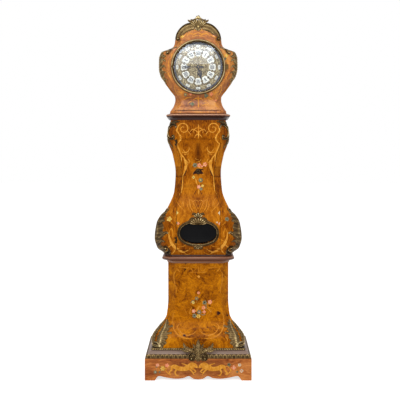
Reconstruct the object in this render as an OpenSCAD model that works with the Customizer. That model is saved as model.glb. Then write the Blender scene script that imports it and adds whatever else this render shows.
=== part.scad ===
// Longcase clock with a bombe case, gilt mounts, a hinged bezel and door, and a weight-driven movement.
// Millimetres. +Z is up, the dial faces -Y, the flat back is at +Y and the feet stand on z = 0.

/* [Plinth] */
// Width of the plinth, the widest part of the case
plinth_w = 646; // [620:2:680]
// Depth of the plinth from its front to its back
plinth_depth = 392; // [380:2:410]
// Height of the plinth over the floor
plinth_h = 132; // [120:1:150]
// Thickness of the plinth's boards
plinth_wall = 22; // [18:1:26]
// Width of a bracket foot at the floor
foot_w = 60; // [50:1:75]
// Highest rise of the apron over the floor
apron_rise = 27; // [18:1:36]
// Depth of the apron's centre lobe over the floor
lobe_rise = 7; // [4:1:10]
// Thickness of the base board inside the plinth's top
base_board_t = 16; // [12:1:20]

/* [Plinth mouldings] */
// Height of the cast leaf moulding
leaf_band_h = 24; // [20:1:28]
// Set-back of the leaf moulding from the plinth's face
leaf_band_inset = 2; // [1:0.5:4]
// Height of the wooden cove
cove_h = 18; // [14:1:22]
// Height of the brass bead
bead_h = 13; // [10:1:16]

/* [Pedestal] */
// Height of the pedestal
pedestal_h = 507; // [480:1:530]
// Half-width of the pedestal's foot
pedestal_foot_half = 280; // [274:1:284]
// Depth of the pedestal's foot
pedestal_foot_depth = 355; // [345:1:358]
// Half-width half way down the pedestal's flare
pedestal_flare_half = 226; // [220:1:235]
// Depth half way down the pedestal's flare
pedestal_flare_depth = 305; // [300:1:312]
// Half-width of the pedestal's straight neck
pedestal_neck_half = 189; // [184:1:194]
// Depth of the pedestal's straight neck
pedestal_neck_depth = 280; // [274:1:286]
// Height of the flare over the pedestal's foot
pedestal_flare_h = 279; // [260:1:300]
// Width of the canted corners of the pedestal
pedestal_cant = 46; // [42:1:50]

/* [Waist moulding] */
// Height of the moulding between pedestal and trunk
waist_band_h = 54; // [50:1:58]
// Half-width of the moulding at its torus
waist_band_half = 224; // [218:1:230]
// Depth of the case at the moulding's torus
waist_band_depth = 314; // [308:1:320]

/* [Trunk] */
// Height of the trunk
trunk_h = 832; // [810:1:850]
// Half-width of the trunk's foot
trunk_foot_half = 207; // [200:1:212]
// Depth of the trunk's foot
trunk_foot_depth = 294; // [288:1:300]
// Half-width of the bulge
bulge_half = 260; // [250:1:266]
// Depth of the case at the bulge
bulge_depth = 320; // [314:1:326]
// Height of the bulge over the trunk's foot
bulge_rise = 101; // [90:1:110]
// Half-width of the waist
waist_half = 142; // [138:1:148]
// Depth of the case at the waist
waist_depth = 268; // [262:1:274]
// Height of the waist over the trunk's foot
waist_rise = 508; // [495:1:520]
// Half-width of the trunk's shoulder
shoulder_half = 187; // [182:1:192]
// Depth of the case at the shoulder
shoulder_depth = 292; // [286:1:298]
// Height of the shoulder over the trunk's foot
shoulder_rise = 733; // [720:1:745]
// Half-width of the trunk's top
trunk_top_half = 172; // [168:1:178]
// Width of the trunk's canted corners
cant = 44; // [40:1:48]
// Thickness of the case's panels
case_wall = 16; // [14:1:18]

/* [Cornice] */
// Height of the cornice
cornice_h = 42; // [38:1:46]
// Half-width of the cornice
cornice_half = 198; // [192:1:204]
// Depth of the cornice
cornice_depth = 312; // [306:1:318]
// Height of the ledge under the hood
ledge_h = 15; // [12:1:18]

/* [Hood] */
// Half-width of the hood's foot
hood_foot_half = 172; // [168:1:176]
// Half-width of the hood's neck
hood_neck_half = 143; // [139:1:148]
// Height of the neck over the hood's foot
hood_neck_rise = 72; // [66:1:78]
// Depth of the hood's neck
hood_neck_depth = 270; // [264:1:276]
// Half-width of the hood beside the dial
hood_half = 236; // [230:1:242]
// Depth of the hood at the dial
hood_depth = 287; // [281:1:293]
// Height of the hood's eaves over its foot
hood_eave_rise = 366; // [356:1:376]
// Height of the hood's wooden top over its foot
hood_h = 518; // [512:1:522]
// Half-width of the hood's wooden top
hood_crown_half = 74; // [70:1:80]
// Height of the dial's centre over the hood's foot
dial_rise = 269; // [264:1:274]
// Width of the hood's canted corners
hood_cant = 40; // [36:1:44]

/* [Bezel and dial] */
// Outer radius of the brass bezel
bezel_r = 169; // [166:1:172]
// Radius of the hole in the hood's front
dial_hole_r = 156; // [154:1:158]
// Inner radius of the bezel
sight_r = 150; // [147:1:152]
// Rise of the domed glass
glass_rise = 14; // [10:1:18]
// Thickness of the glass
glass_t = 2.5; // [2:0.1:3]
// Radius of the dial plate
dial_r = 163; // [161:1:165]
// Radius at which the hour plaques are centred
hour_ring_r = 86; // [83:1:89]
// Height of an hour plaque
hour_plaque_h = 37; // [34:1:40]
// Radius at which the minute plaques are centred
minute_ring_r = 128; // [125:1:130]
// Height of a minute plaque
minute_plaque_h = 15; // [13:1:17]
// Radius of the worked centre disc
centre_disc_r = 60; // [56:1:63]
// Length of the minute hand
minute_hand_l = 118; // [112:1:122]
// Length of the hour hand
hour_hand_l = 76; // [70:1:82]
// Direction of the minute hand at rest, clockwise from twelve
minute_rest = 270; // [0:1:359]
// Direction of the hour hand at rest, clockwise from twelve
hour_rest = 166; // [0:1:359]

/* [Door] */
// Half-width of the door where the case is wider than it
door_half = 134; // [132:1:136]
// Height of the door's foot over the trunk's foot
door_foot_rise = 34; // [28:1:40]
// Height of the door's top over the trunk's foot
door_top_rise = 714; // [704:1:716]
// Thickness of the door
door_t = 16; // [14:1:18]
// Gap round the door
door_gap = 2; // [1.5:0.1:3]
// Height of the window's centre over the trunk's foot
window_rise = 136; // [132:1:140]
// Half-width of the window's opening
window_half_w = 112; // [108:1:114]
// Half-height of the window's opening
window_half_h = 66; // [60:1:67]
// Width of the window's frame
window_frame_w = 17; // [14:1:19]
// Height of the keyhole over the trunk's foot
keyhole_rise = 516; // [506:1:526]
// Radius of the keyhole's escutcheon
escutcheon_r = 17; // [15:1:20]
// Travel of the lock's bolt
bolt_throw = 9; // [7:0.5:10]

/* [Movement] */
// Half-width of the movement's plates
plate_half = 58; // [56:1:62]
// Thickness of the movement's plates
plate_t = 3; // [2.5:0.5:4]
// Gap between the two plates
plate_gap = 54; // [52:1:58]
// Teeth of the great wheel
great_teeth = 96; // [96:1:96]
// Pitch radius of the great wheel
great_r = 43.2; // [43.2:0.1:43.2]
// Teeth of the centre wheel
centre_teeth = 64; // [64:1:64]
// Pitch radius of the centre wheel
centre_r = 25.6; // [25.6:0.1:25.6]
// Teeth of the third wheel
third_teeth = 60; // [60:1:60]
// Pitch radius of the third wheel
third_r = 21; // [21:0.1:21]
// Leaves of each pinion
leaves = 8; // [8:1:8]
// Teeth of the escape wheel
escape_teeth = 30; // [30:1:30]
// Radius of the escape wheel
escape_r = 20; // [19.5:0.1:20.5]
// Radius of the winding drum
drum_r = 18; // [16:0.5:18.5]

/* [Pendulum and weight] */
// Length of the pendulum from its suspension to the bob's centre
pendulum_l = 1012; // [1000:1:1020]
// Radius of the bob
bob_r = 80; // [70:1:85]
// Thickness of the bob at its centre
bob_t = 34; // [28:1:38]
// Radius of the pendulum's rod
rod_r = 4.5; // [4:0.1:5]
// Radius of the weight
weight_r = 30; // [26:0.5:32]
// Length of the weight
weight_l = 230; // [200:1:250]
// Height of the pulley's centre when the weight is down
pulley_low = 700; // [680:1:720]
// Radius of the pulley at the line
pulley_r = 18; // [16:0.5:19]
// Thickness of the line
line_d = 1.6; // [1.2:0.1:2]

/* [Mounts] */
// Distance that the centre mount stands ahead of the plinth
mount_reach = 18; // [14:1:22]
// Thickness of the applied mounts
mount_t = 8; // [6:0.5:10]
// Height of the plinth mount's palmette
palmette_h = 120; // [110:1:122]
// Height of the leaves at the pedestal's corners
pedestal_mount_h = 158; // [150:1:166]
// Reach of the pedestal's leaves round the corner
pedestal_mount_w = 96; // [90:1:98]
// Height of the leaves on the trunk's bulge
bulge_mount_h = 276; // [266:1:282]
// Reach of the bulge's leaves round the corner
bulge_mount_w = 95; // [90:1:97]
// Height of the scrolls at the trunk's shoulders
shoulder_mount_h = 160; // [152:1:162]
// Reach of the shoulders' scrolls round the corner
shoulder_mount_w = 86; // [80:1:88]
// Height of the wings beside the dial
wing_h = 216; // [206:1:222]
// Reach of the wings round the corner
wing_w = 82; // [78:1:84]
// Height of the finial over the hood's wooden top
finial_rise = 67; // [60:1:72]

/* [Hidden] */
$fn = 64;

wood = "#b06a1e";
dark_wood = "#5a3320";
gilt = "#8c7a4a";
brass = "#b8963c";
enamel = "#f0ece0";
steel = "#4a4d55";

// Places that follow from the driving sizes
back_y = (plinth_depth + mount_reach) / 2;
plinth_y = back_y - plinth_depth;
plinth_half = plinth_w / 2;
leaf_z = plinth_h;
cove_z = leaf_z + leaf_band_h;
bead_z = cove_z + cove_h;
pedestal_z = bead_z + bead_h;
waist_band_z = pedestal_z + pedestal_h;
trunk_z = waist_band_z + waist_band_h;
cornice_z = trunk_z + trunk_h;
ledge_z = cornice_z + cornice_h;
hood_z = ledge_z + ledge_h;
dial_z = hood_z + dial_rise;
hood_face_y = back_y - hood_depth;
course = 16;
cut = 40;
mitre = tan(22.5);
seat_gap = 0.3;
cast_gap = 0.5;

// Stages of the case, each row a level with its half-width and its depth
pedestal = [
    [pedestal_z, pedestal_foot_half, pedestal_foot_depth],
    [pedestal_z + pedestal_flare_h * 0.19, pedestal_foot_half - 8, pedestal_foot_depth - 13],
    [pedestal_z + pedestal_flare_h * 0.43, pedestal_flare_half, pedestal_flare_depth],
    [pedestal_z + pedestal_flare_h * 0.6, pedestal_neck_half + 11, pedestal_neck_depth + 8],
    [pedestal_z + pedestal_flare_h, pedestal_neck_half, pedestal_neck_depth],
    [pedestal_z + pedestal_h, pedestal_neck_half, pedestal_neck_depth]];
trunk = [
    [trunk_z, trunk_foot_half, trunk_foot_depth],
    [trunk_z + bulge_rise * 0.45, bulge_half - 14, bulge_depth - 7],
    [trunk_z + bulge_rise, bulge_half, bulge_depth],
    [trunk_z + bulge_rise + 92, bulge_half - 12, bulge_depth - 5],
    [trunk_z + bulge_rise + 185, waist_half + 51, waist_depth + 31],
    [trunk_z + waist_rise - 112, waist_half + 8, waist_depth + 7],
    [trunk_z + waist_rise, waist_half, waist_depth],
    [trunk_z + waist_rise + 113, waist_half + 18, waist_depth + 10],
    [trunk_z + shoulder_rise - 37, shoulder_half - 2, shoulder_depth - 2],
    [trunk_z + shoulder_rise, shoulder_half, shoulder_depth],
    [trunk_z + trunk_h, trunk_top_half, shoulder_depth - 4]];
hood = [
    [hood_z, hood_foot_half, hood_depth + 3],
    [hood_z + hood_neck_rise * 0.5, hood_neck_half + 8, hood_neck_depth + 6],
    [hood_z + hood_neck_rise, hood_neck_half, hood_neck_depth],
    [hood_z + hood_neck_rise + 30, hood_neck_half + 5, hood_depth - 3],
    [dial_rise - 106 + hood_z, hood_half - 46, hood_depth],
    [dial_rise - 48 + hood_z, hood_half - 9, hood_depth],
    [dial_z, hood_half, hood_depth],
    [dial_z + 60, hood_half, hood_depth],
    [hood_z + hood_eave_rise, hood_half - 14, hood_depth],
    [hood_z + hood_eave_rise + 17, hood_crown_half + 104, hood_depth],
    [hood_z + hood_eave_rise + 36, hood_crown_half + 78, hood_depth],
    [hood_z + hood_eave_rise + 56, hood_crown_half + 71, hood_depth],
    [hood_z + hood_eave_rise + 94, hood_crown_half + 67, hood_depth],
    [hood_z + hood_eave_rise + 118, hood_crown_half + 56, hood_depth],
    [hood_z + hood_eave_rise + 136, hood_crown_half + 36, hood_depth],
    [hood_z + hood_h, hood_crown_half, hood_depth]];

// Smooth curve through a stage's rows, level between two equal ones
function secant(s, k, i) = (s[i + 1][k] - s[i][k]) / (s[i + 1][0] - s[i][0]);
function joined(a, b) = a * b <= 0 ? 0 : 2 * a * b / (a + b);
function slope(s, k, i) =
    i == 0 ? secant(s, k, 0)
    : i == len(s) - 1 ? secant(s, k, i - 1)
    : joined(secant(s, k, i - 1), secant(s, k, i));
function span(s, z, i = 0) = i >= len(s) - 2 || z < s[i + 1][0] ? i : span(s, z, i + 1);
function hermite(s, k, i, h, t) =
    (2 * t * t * t - 3 * t * t + 1) * s[i][k]
    + (t * t * t - 2 * t * t + t) * h * slope(s, k, i)
    + (3 * t * t - 2 * t * t * t) * s[i + 1][k]
    + (t * t * t - t * t) * h * slope(s, k, i + 1);
function smooth(s, k, z) =
    let (i = span(s, z), h = s[i + 1][0] - s[i][0])
    hermite(s, k, i, h, (z - s[i][0]) / h);

// The panels are straight between courses, so that what lies on them meets them
function top_of(s) = s[len(s) - 1][0];
function course_at(s, z) = s[0][0] + floor((z - s[0][0]) / course + 0.0001) * course;
function laid(s, k, z) =
    let (a = course_at(s, z), b = min(a + course, top_of(s)))
    b - a < 0.01 ? smooth(s, k, a)
    : smooth(s, k, a) + (smooth(s, k, b) - smooth(s, k, a)) * (z - a) / (b - a);
function half_at(s, z) = laid(s, 1, z);
function front_at(s, z) = back_y - laid(s, 2, z);
function courses(s, z0, z1) = concat([z0],
    [for (z = [course_at(s, z0) + course : course : z1 - 0.01]) if (z > z0 + 0.01) z], [z1]);

// Solid through a stack of rings, each running counter-clockwise seen from above.
// A banded ring has its outer points first and then its inner ones, and is closed by quads between them.
module loft(rings, banded = false) {
    n = len(rings[0]);
    m = len(rings);
    last = (m - 1) * n;
    points = [for (ring = rings) for (p = ring) p];
    sides = [for (j = [0 : m - 2]) for (i = [0 : n - 1])
        [j * n + i, (j + 1) * n + i, (j + 1) * n + (i + 1) % n, j * n + (i + 1) % n]];
    foot = banded
        ? [for (i = [0 : n / 2 - 2]) [i, i + 1, n - 2 - i, n - 1 - i]]
        : [[for (i = [0 : n - 1]) i]];
    head = [for (face = foot) [for (i = [len(face) - 1 : -1 : 0]) last + face[i]]];
    polyhedron(points, concat(foot, sides, head), convexity = 8);
}

// Outline of the case at one level, with canted front corners
function plan(half, depth, c) = [
    [-half, back_y], [-half, back_y - depth + c], [-half + c, back_y - depth],
    [half - c, back_y - depth], [half, back_y - depth + c], [half, back_y]];
function raised(outline, z) = [for (p = outline) [p[0], p[1], z]];
module stack(rows, c) {
    loft([for (r = rows) raised(plan(r[1], r[2], c), r[0])]);
}

// Rows of a half-round moulding between two levels
function torus_rows(z0, z1, half, depth) =
    let (r = (z1 - z0) / 2)
    [for (a = [-90 : 15 : 90]) [(z0 + z1) / 2 + r * sin(a), half + r * cos(a) - r, depth + r * cos(a) - r]];
// Rows of a cove that sweeps from one size to the next
function cove_rows(z0, z1, half0, half1, depth0, depth1, turn = 1) =
    [for (a = [0 : 15 : 90])
        let (up = turn > 0 ? 1 - cos(a) : sin(a), in = turn > 0 ? sin(a) : 1 - cos(a))
        [z0 + (z1 - z0) * up, half0 + (half1 - half0) * in, depth0 + (depth1 - depth0) * in]];

// Opening through a moulding for what hangs in the case
module well(half, depth, z0, z1) {
    translate([-half, back_y - depth, z0 - 1])
        cube([2 * half, depth - case_wall - 0.5, z1 - z0 + 2]);
}
// Rebate at a moulding's back for the back board that passes behind it
module board_rebate(half, z0, z1) {
    translate([-half, back_y - case_wall, z0 - 1])
        cube([2 * half, case_wall + 1, z1 - z0 + 2]);
}

// Front panel between the sides, with its two cants
module front_panel(s, c, z0, z1, t = case_wall) {
    loft([for (z = courses(s, z0, z1))
        let (a = half_at(s, z), f = front_at(s, z), w = min(c, a * 0.6), p = a - w)
        raised([
            [-a, f + w], [-p, f], [p, f], [a, f + w], [a - t, f + w + mitre * t],
            [p - mitre * t, f + t], [-p + mitre * t, f + t], [-a + t, f + w + mitre * t]], z)], true);
}
module side_panel(s, c, z0, z1, side) {
    loft([for (z = courses(s, z0, z1))
        let (a = half_at(s, z), f = front_at(s, z) + c, m = mitre * case_wall, b = back_y - case_wall)
        raised(side > 0
            ? [[a - case_wall, b], [a - case_wall, f + m], [a, f], [a, b]]
            : [[-a, b], [-a, f], [-a + case_wall, f + m], [-a + case_wall, b]], z)]);
}

// Place at a distance u round the right corner, counted from where the front meets the cant, and lifted by off
function corner_point(s, c, z, u, off) =
    let (a = half_at(s, z), f = front_at(s, z), p = a - c, d = c * sqrt(2), h = sqrt(0.5))
    abs(u) < 0.01 ? [p + mitre * off, f - off]
    : abs(u - d) < 0.01 ? [a + off, f + c - mitre * off]
    : u < 0 ? [p + u, f - off]
    : u < d ? [p + (u + off) * h, f + (u - off) * h]
    : [a + off, f + c + u - d];
function corner_stops(c, u0, u1, e = 0.6) =
    let (d = c * sqrt(2))
    [u0, max(u0 + e, min(0, u1 - 2 * e)), max(u0 + 2 * e, min(d, u1 - e)), u1];
function halved(l) = concat([for (i = [0 : len(l) - 2]) each [l[i], (l[i] + l[i + 1]) / 2]], [l[len(l) - 1]]);
// Levels with those added at which a mount's edge crosses the corner
function zero_at(rows, a, b, n = 20) =
    let (m = (a + b) / 2)
    n == 0 ? m
    : smooth(rows, 1, a) * smooth(rows, 1, m) <= 0 ? zero_at(rows, a, m, n - 1)
    : zero_at(rows, m, b, n - 1);
function with_zeros(rows, l) = concat(
    [for (i = [0 : len(l) - 2]) each
        smooth(rows, 1, l[i]) * smooth(rows, 1, l[i + 1]) < 0
            ? [l[i], zero_at(rows, l[i], l[i + 1])]
            : [l[i]]],
    [l[len(l) - 1]]);
// Cast mount laid round a corner, through rows of its height and the two distances that it reaches between
module corner_mount(s, c, rows, t = mount_t) {
    levels = courses(s, rows[0][0], rows[len(rows) - 1][0]);
    loft([for (z = with_zeros(rows, halved(levels)))
        let (stops = corner_stops(c, smooth(rows, 1, z), smooth(rows, 2, z)))
        raised(concat(
            [for (u = stops) corner_point(s, c, z, u, t)],
            [for (k = [3 : -1 : 0]) corner_point(s, c, z, stops[k], cast_gap)]), z)], true);
}
// Sheet on the front between two half-widths, from y = front - ahead to front + behind
module front_sheet(s, z0, z1, half, ahead, behind) {
    loft([for (z = courses(s, z0, z1))
        let (f = front_at(s, z))
        raised([[-half, f + behind], [-half, f - ahead], [half, f - ahead], [half, f + behind]], z)]);
}

// Drawn as seen from the front, with x to the right and z up, and raised towards the viewer from y
module seen_from_front(y, t) {
    translate([0, y, 0])
        rotate([90, 0, 0])
            linear_extrude(t)
                children();
}
module both_sides() {
    children();
    mirror([1, 0, 0]) children();
}

// Ribbon along a smooth line through rows of x, z and width
function mix(a, b, t) = a + (b - a) * t;
function eased(r, i, t) =
    let (n = len(r) - 1, p0 = r[max(i - 1, 0)], p1 = r[i], p2 = r[i + 1], p3 = r[min(i + 2, n)])
    0.5 * (2 * p1 + (p2 - p0) * t + (2 * p0 - 5 * p1 + 4 * p2 - p3) * t * t
        + (3 * p1 - 3 * p2 + p3 - p0) * t * t * t);
function along(r, steps) = concat(
    [for (i = [0 : len(r) - 2]) for (k = [0 : steps - 1]) eased(r, i, k / steps)], [r[len(r) - 1]]);
function ribbon(r, steps = 4) =
    let (c = along(r, steps), n = len(c) - 1)
    let (edge = function (side) [for (i = [0 : n])
        let (a = c[max(i - 1, 0)], b = c[min(i + 1, n)], d = [b[0] - a[0], b[1] - a[1]])
        [c[i][0] - side * d[1] / norm(d) * c[i][2] / 2, c[i][1] + side * d[0] / norm(d) * c[i][2] / 2]])
    concat(edge(1), [for (i = [n : -1 : 0]) edge(-1)[i]]);
module strap(r, steps = 4) {
    polygon(ribbon(r, steps));
}
// Closed outline that runs smoothly through a few corners
function looped(r, steps = 4) =
    let (n = len(r))
    [for (i = [0 : n - 1]) for (k = [0 : steps - 1])
        let (t = k / steps, p0 = r[(i + n - 1) % n], p1 = r[i], p2 = r[(i + 1) % n], p3 = r[(i + 2) % n])
        0.5 * (2 * p1 + (p2 - p0) * t + (2 * p0 - 5 * p1 + 4 * p2 - p3) * t * t
            + (3 * p1 - 3 * p2 + p3 - p0) * t * t * t)];
// Lobed leaf from its root at the origin towards +z
module leaf(length, width, lobes = 5) {
    side = [for (i = [0 : lobes * 4])
        let (t = i / (lobes * 4))
        [width / 2 * pow(sin(180 * pow(t, 0.8)), 0.7) * (1 - 0.16 * (1 + cos(t * lobes * 360)) / 2) + 0.6,
            length * t]];
    polygon(concat(side, [for (i = [len(side) - 1 : -1 : 0]) [-side[i][0], side[i][1]]]));
}

// Plinth: a frame of boards on bracket feet with a shaped apron
function apron(reach) =
    let (inner = reach - foot_w)
    [[-1, lobe_rise], [inner * 0.1, lobe_rise + 3], [inner * 0.22, apron_rise], [inner * 0.34, lobe_rise + 8],
        [inner * 0.5, lobe_rise + 4], [inner * 0.7, lobe_rise + 10], [inner * 0.91, apron_rise],
        [inner, 0]];
module apron_cut(reach) {
    rows = apron(reach);
    half = [for (i = [0 : 40]) let (x = mix(0, reach - foot_w, i / 40)) [x, smooth(rows, 1, x)]];
    polygon(concat(half, [[half[40][0], -cut], [-half[40][0], -cut]],
        [for (i = [40 : -1 : 1]) [-half[i][0], half[i][1]]]));
}
module plinth_front() {
    color(wood)
        difference() {
            translate([-plinth_half, plinth_y, 0])
                cube([plinth_w, plinth_wall, plinth_h]);
            seen_from_front(plinth_y + plinth_wall + 1, plinth_wall + 2) apron_cut(plinth_half);
        }
}
module plinth_sides() {
    depth = plinth_depth - plinth_wall;
    color(wood)
        both_sides()
            difference() {
                translate([plinth_half - plinth_wall, plinth_y + plinth_wall, 0])
                    cube([plinth_wall, depth, plinth_h]);
                translate([plinth_half + 1, plinth_y + plinth_wall + depth / 2, 0])
                    rotate([90, 0, -90])
                        linear_extrude(plinth_wall + 2) apron_cut(depth / 2);
            }
}
module plinth_back() {
    color(dark_wood)
        translate([-plinth_half + plinth_wall, back_y - case_wall, apron_rise])
            cube([plinth_w - 2 * plinth_wall, case_wall, plinth_h - apron_rise]);
}
module base_board() {
    color(dark_wood)
        translate([-plinth_half + plinth_wall, plinth_y + plinth_wall, plinth_h - base_board_t])
            cube([plinth_w - 2 * plinth_wall, plinth_depth - plinth_wall - case_wall, base_board_t]);
}

// Mouldings on the plinth
module leaf_moulding() {
    half = plinth_half - leaf_band_inset;
    depth = plinth_depth - leaf_band_inset;
    color(gilt)
        difference() {
            stack(concat([[leaf_z, half, depth]],
                [for (a = [0 : 15 : 90])
                    [leaf_z + 5 + (leaf_band_h - 5) * sin(a), half - 8 * (1 - cos(a)), depth - 8 * (1 - cos(a))]]), 1);
            well(pedestal_foot_half - case_wall, pedestal_foot_depth - case_wall, leaf_z, cove_z);
        }
}
module cove_moulding() {
    color(dark_wood)
        difference() {
            stack(cove_rows(cove_z, bead_z, plinth_half - 14, pedestal_foot_half + 14,
                plinth_depth - 14, pedestal_foot_depth + 14), 1);
            well(pedestal_foot_half - case_wall, pedestal_foot_depth - case_wall, cove_z, bead_z);
        }
}
module bead_moulding() {
    color(gilt)
        difference() {
            stack(torus_rows(bead_z, pedestal_z, pedestal_foot_half + 8, pedestal_foot_depth + 8), 10);
            well(pedestal_foot_half - case_wall, pedestal_foot_depth - case_wall, bead_z, pedestal_z);
        }
}

// Pedestal, waist moulding and trunk
module pedestal_front() {
    color(wood) front_panel(pedestal, pedestal_cant, pedestal_z, waist_band_z);
}
module pedestal_sides() {
    color(wood) {
        side_panel(pedestal, pedestal_cant, pedestal_z, waist_band_z, -1);
        side_panel(pedestal, pedestal_cant, pedestal_z, waist_band_z, 1);
    }
}
module waist_moulding() {
    neck = pedestal_neck_half;
    neck_depth = pedestal_neck_depth;
    torus_z0 = waist_band_z + waist_band_h * 0.33;
    torus_z1 = waist_band_z + waist_band_h * 0.85;
    color(dark_wood)
        difference() {
            stack(concat(
                cove_rows(waist_band_z, torus_z0, neck + 3, waist_band_half - 12,
                    neck_depth + 3, waist_band_depth - 12, -1),
                torus_rows(torus_z0 + 1, torus_z1, waist_band_half, waist_band_depth),
                [[torus_z1 + 1, waist_band_half - 17, waist_band_depth - 17],
                    [trunk_z, trunk_foot_half + 1, trunk_foot_depth + 1]]), cant);
            well(neck - 2 * case_wall, neck_depth - 2 * case_wall, waist_band_z, trunk_z);
            board_rebate(trunk_foot_half + 0.2, waist_band_z, trunk_z);
        }
}
door_z0 = trunk_z + door_foot_rise;
door_z1 = trunk_z + door_top_rise;
function door_edge(z) = min(door_half, half_at(trunk, z) - cant);
// The case's opening for the door, straight through the front
module door_opening() {
    loft([for (z = courses(trunk, door_z0 - door_gap, door_z1 + door_gap))
        let (w = door_edge(z) + door_gap, f = front_at(trunk, z))
        raised([[-w, f + cut], [-w, f - cut], [w, f - cut], [w, f + cut]], z)]);
}
bolt_z = trunk_z + keyhole_rise;
bolt_y = front_at(trunk, bolt_z) + door_t + 5;
bolt_end = door_edge(bolt_z) - 8;
module trunk_front() {
    color(wood)
        difference() {
            front_panel(trunk, cant, trunk_z, cornice_z);
            door_opening();
            translate([bolt_end, bolt_y - 5, bolt_z - 9]) cube([bolt_throw + 10, 10, 18]);
        }
}
module trunk_sides() {
    color(wood) {
        side_panel(trunk, cant, trunk_z, cornice_z, -1);
        side_panel(trunk, cant, trunk_z, cornice_z, 1);
    }
}
// Back boards of the case and the hood, cut to the outline
module back_boards() {
    case_levels = concat(
        [for (z = courses(pedestal, pedestal_z, waist_band_z)) [half_at(pedestal, z), z]],
        [for (z = courses(trunk, trunk_z, cornice_z)) [half_at(trunk, z), z]]);
    hood_levels = [for (z = courses(hood, hood_z, hood_z + hood_h)) [half_at(hood, z), z]];
    color(dark_wood)
        for (levels = [case_levels, hood_levels])
            seen_from_front(back_y, case_wall - 0.1)
                polygon(concat(levels, [for (i = [len(levels) - 1 : -1 : 0]) [-levels[i][0], levels[i][1]]]));
}
board_half = trunk_top_half - case_wall;
board_z = cornice_z - 14;
board_y = front_at(trunk, cornice_z) + cant + mitre * case_wall + 0.3;
cheek_x = hood_neck_half - 2 * case_wall;
module trunk_top_board() {
    color(dark_wood)
        difference() {
            translate([-board_half + 0.3, board_y, board_z])
                cube([2 * board_half - 0.6, back_y - case_wall - board_y, 14]);
            translate([-cheek_x + 8, front_at(trunk, cornice_z) + cant + 12, board_z - 1])
                cube([2 * cheek_x - 16, 170, 16]);
        }
}
module cornice() {
    top = trunk_top_half;
    depth = trunk[len(trunk) - 1][2];
    color(dark_wood)
        difference() {
            stack(concat(
                [[cornice_z, top + 1, depth + 1]],
                cove_rows(cornice_z + 4, cornice_z + 20, top + 2, cornice_half - 4, depth + 2, cornice_depth - 4, -1),
                torus_rows(cornice_z + 21, ledge_z - 6, cornice_half, cornice_depth),
                [[ledge_z, hood_foot_half + 5, hood_depth + 8]]), cant);
            well(top - 2 * case_wall, depth - 2 * case_wall, cornice_z, ledge_z);
        }
}
module hood_ledge() {
    color(dark_wood)
        difference() {
            stack([[ledge_z, hood_foot_half + 3, hood_depth + 6], [hood_z, hood_foot_half + 1, hood_depth + 4]],
                hood_cant);
            well(hood_foot_half - 2 * case_wall, hood_depth - 2 * case_wall, ledge_z, hood_z);
        }
}

// Hood
eave_z = hood_z + hood_eave_rise;
module hood_front() {
    color(wood)
        difference() {
            front_panel(hood, hood_cant, hood_z, hood_z + hood_h);
            translate([0, hood_face_y - cut, dial_z])
                rotate([-90, 0, 0]) cylinder(h = 2 * cut + case_wall, r = dial_hole_r, $fn = 96);
            translate([0, dial_y, dial_z])
                rotate([-90, 0, 0]) cylinder(h = cut, r = dial_r + 0.3, $fn = 96);
            translate([-button_x, hood_face_y - 1, dial_z])
                rotate([-90, 0, 0]) cylinder(h = 11, r = button_stem_r + 1.2, $fn = 24);
        }
}
module hood_sides() {
    color(wood) {
        side_panel(hood, hood_cant, hood_z, eave_z, -1);
        side_panel(hood, hood_cant, hood_z, eave_z, 1);
    }
}
// Arched roof behind the front, hollow underneath
module hood_top() {
    roof = 20;
    top_z = hood_z + hood_h;
    color(wood)
        difference() {
            loft([for (z = courses(hood, eave_z, top_z))
                let (a = half_at(hood, z), w = min(hood_cant, a * 0.6), f = hood_face_y + w,
                    m = mitre * case_wall, p = a - w - m)
                raised([[-a, back_y - case_wall], [-a, f], [-a + case_wall, f + m], [-p, hood_face_y + case_wall],
                    [p, hood_face_y + case_wall], [a - case_wall, f + m], [a, f], [a, back_y - case_wall]], z)]);
            loft([for (z = courses(hood, eave_z, top_z - roof))
                let (a = half_at(hood, z) - roof, f = hood_face_y + cut, lower = z > eave_z ? z - roof / 4 : z - roof)
                raised([[-a, back_y - 2 * case_wall], [-a, f - cut + 5], [a, f - cut + 5],
                    [a, back_y - 2 * case_wall]], lower)]);
        }
}
seat_top = dial_z - 100;
seat_t = 16;
seat_depth = pedestal_neck_depth - 130;
seat_y = -seat_depth / 3;
module seat_board() {
    color(dark_wood) {
        difference() {
            translate([-cheek_x - 14, seat_y, seat_top - seat_t])
                cube([2 * cheek_x + 28, seat_depth, seat_t]);
            translate([line_x - 8, weight_y - 10, seat_top - seat_t - 1])
                cube([16, 20, seat_t + 2]);
            translate([-30, pendulum_y - 16, seat_top - seat_t - 1])
                cube([60, 32, seat_t + 2]);
        }
        both_sides()
            translate([cheek_x, -14, cornice_z])
                cube([14, 104, seat_top - seat_t - cornice_z]);
    }
}

// Gilt mounts
// Flat outline given as shares of a width and a height, from a level
function spread(w, h, z, rows) =
    [for (r = rows) len(r) > 2 ? [w * r[0], z + h * r[1], w * r[2]] : [w * r[0], z + h * r[1]]];
module plinth_mount() {
    face = plinth_y - cast_gap;
    w = palmette_h / 2;
    z0 = leaf_z - 16;
    color(gilt) {
        seen_from_front(face, mount_reach - cast_gap) {
            translate([0, z0 + 2]) leaf(palmette_h, w, 5);
            both_sides() strap(spread(w, palmette_h, z0, [
                [0.4, 0.417, 0.1], [0.567, 0.283, 0.133], [0.867, 0.217, 0.167], [1, 0.083, 0.15],
                [0.8, 0.033, 0.1]]));
        }
        seen_from_front(face, mount_reach - cast_gap - crest_relief)
            both_sides() strap(spread(w, palmette_h, z0, [
                [0.2, 0.367, 0.233], [0.733, 0.467, 0.267], [1.233, 0.6, 0.4], [1.5, 0.8, 0.2]]));
    }
}
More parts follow.
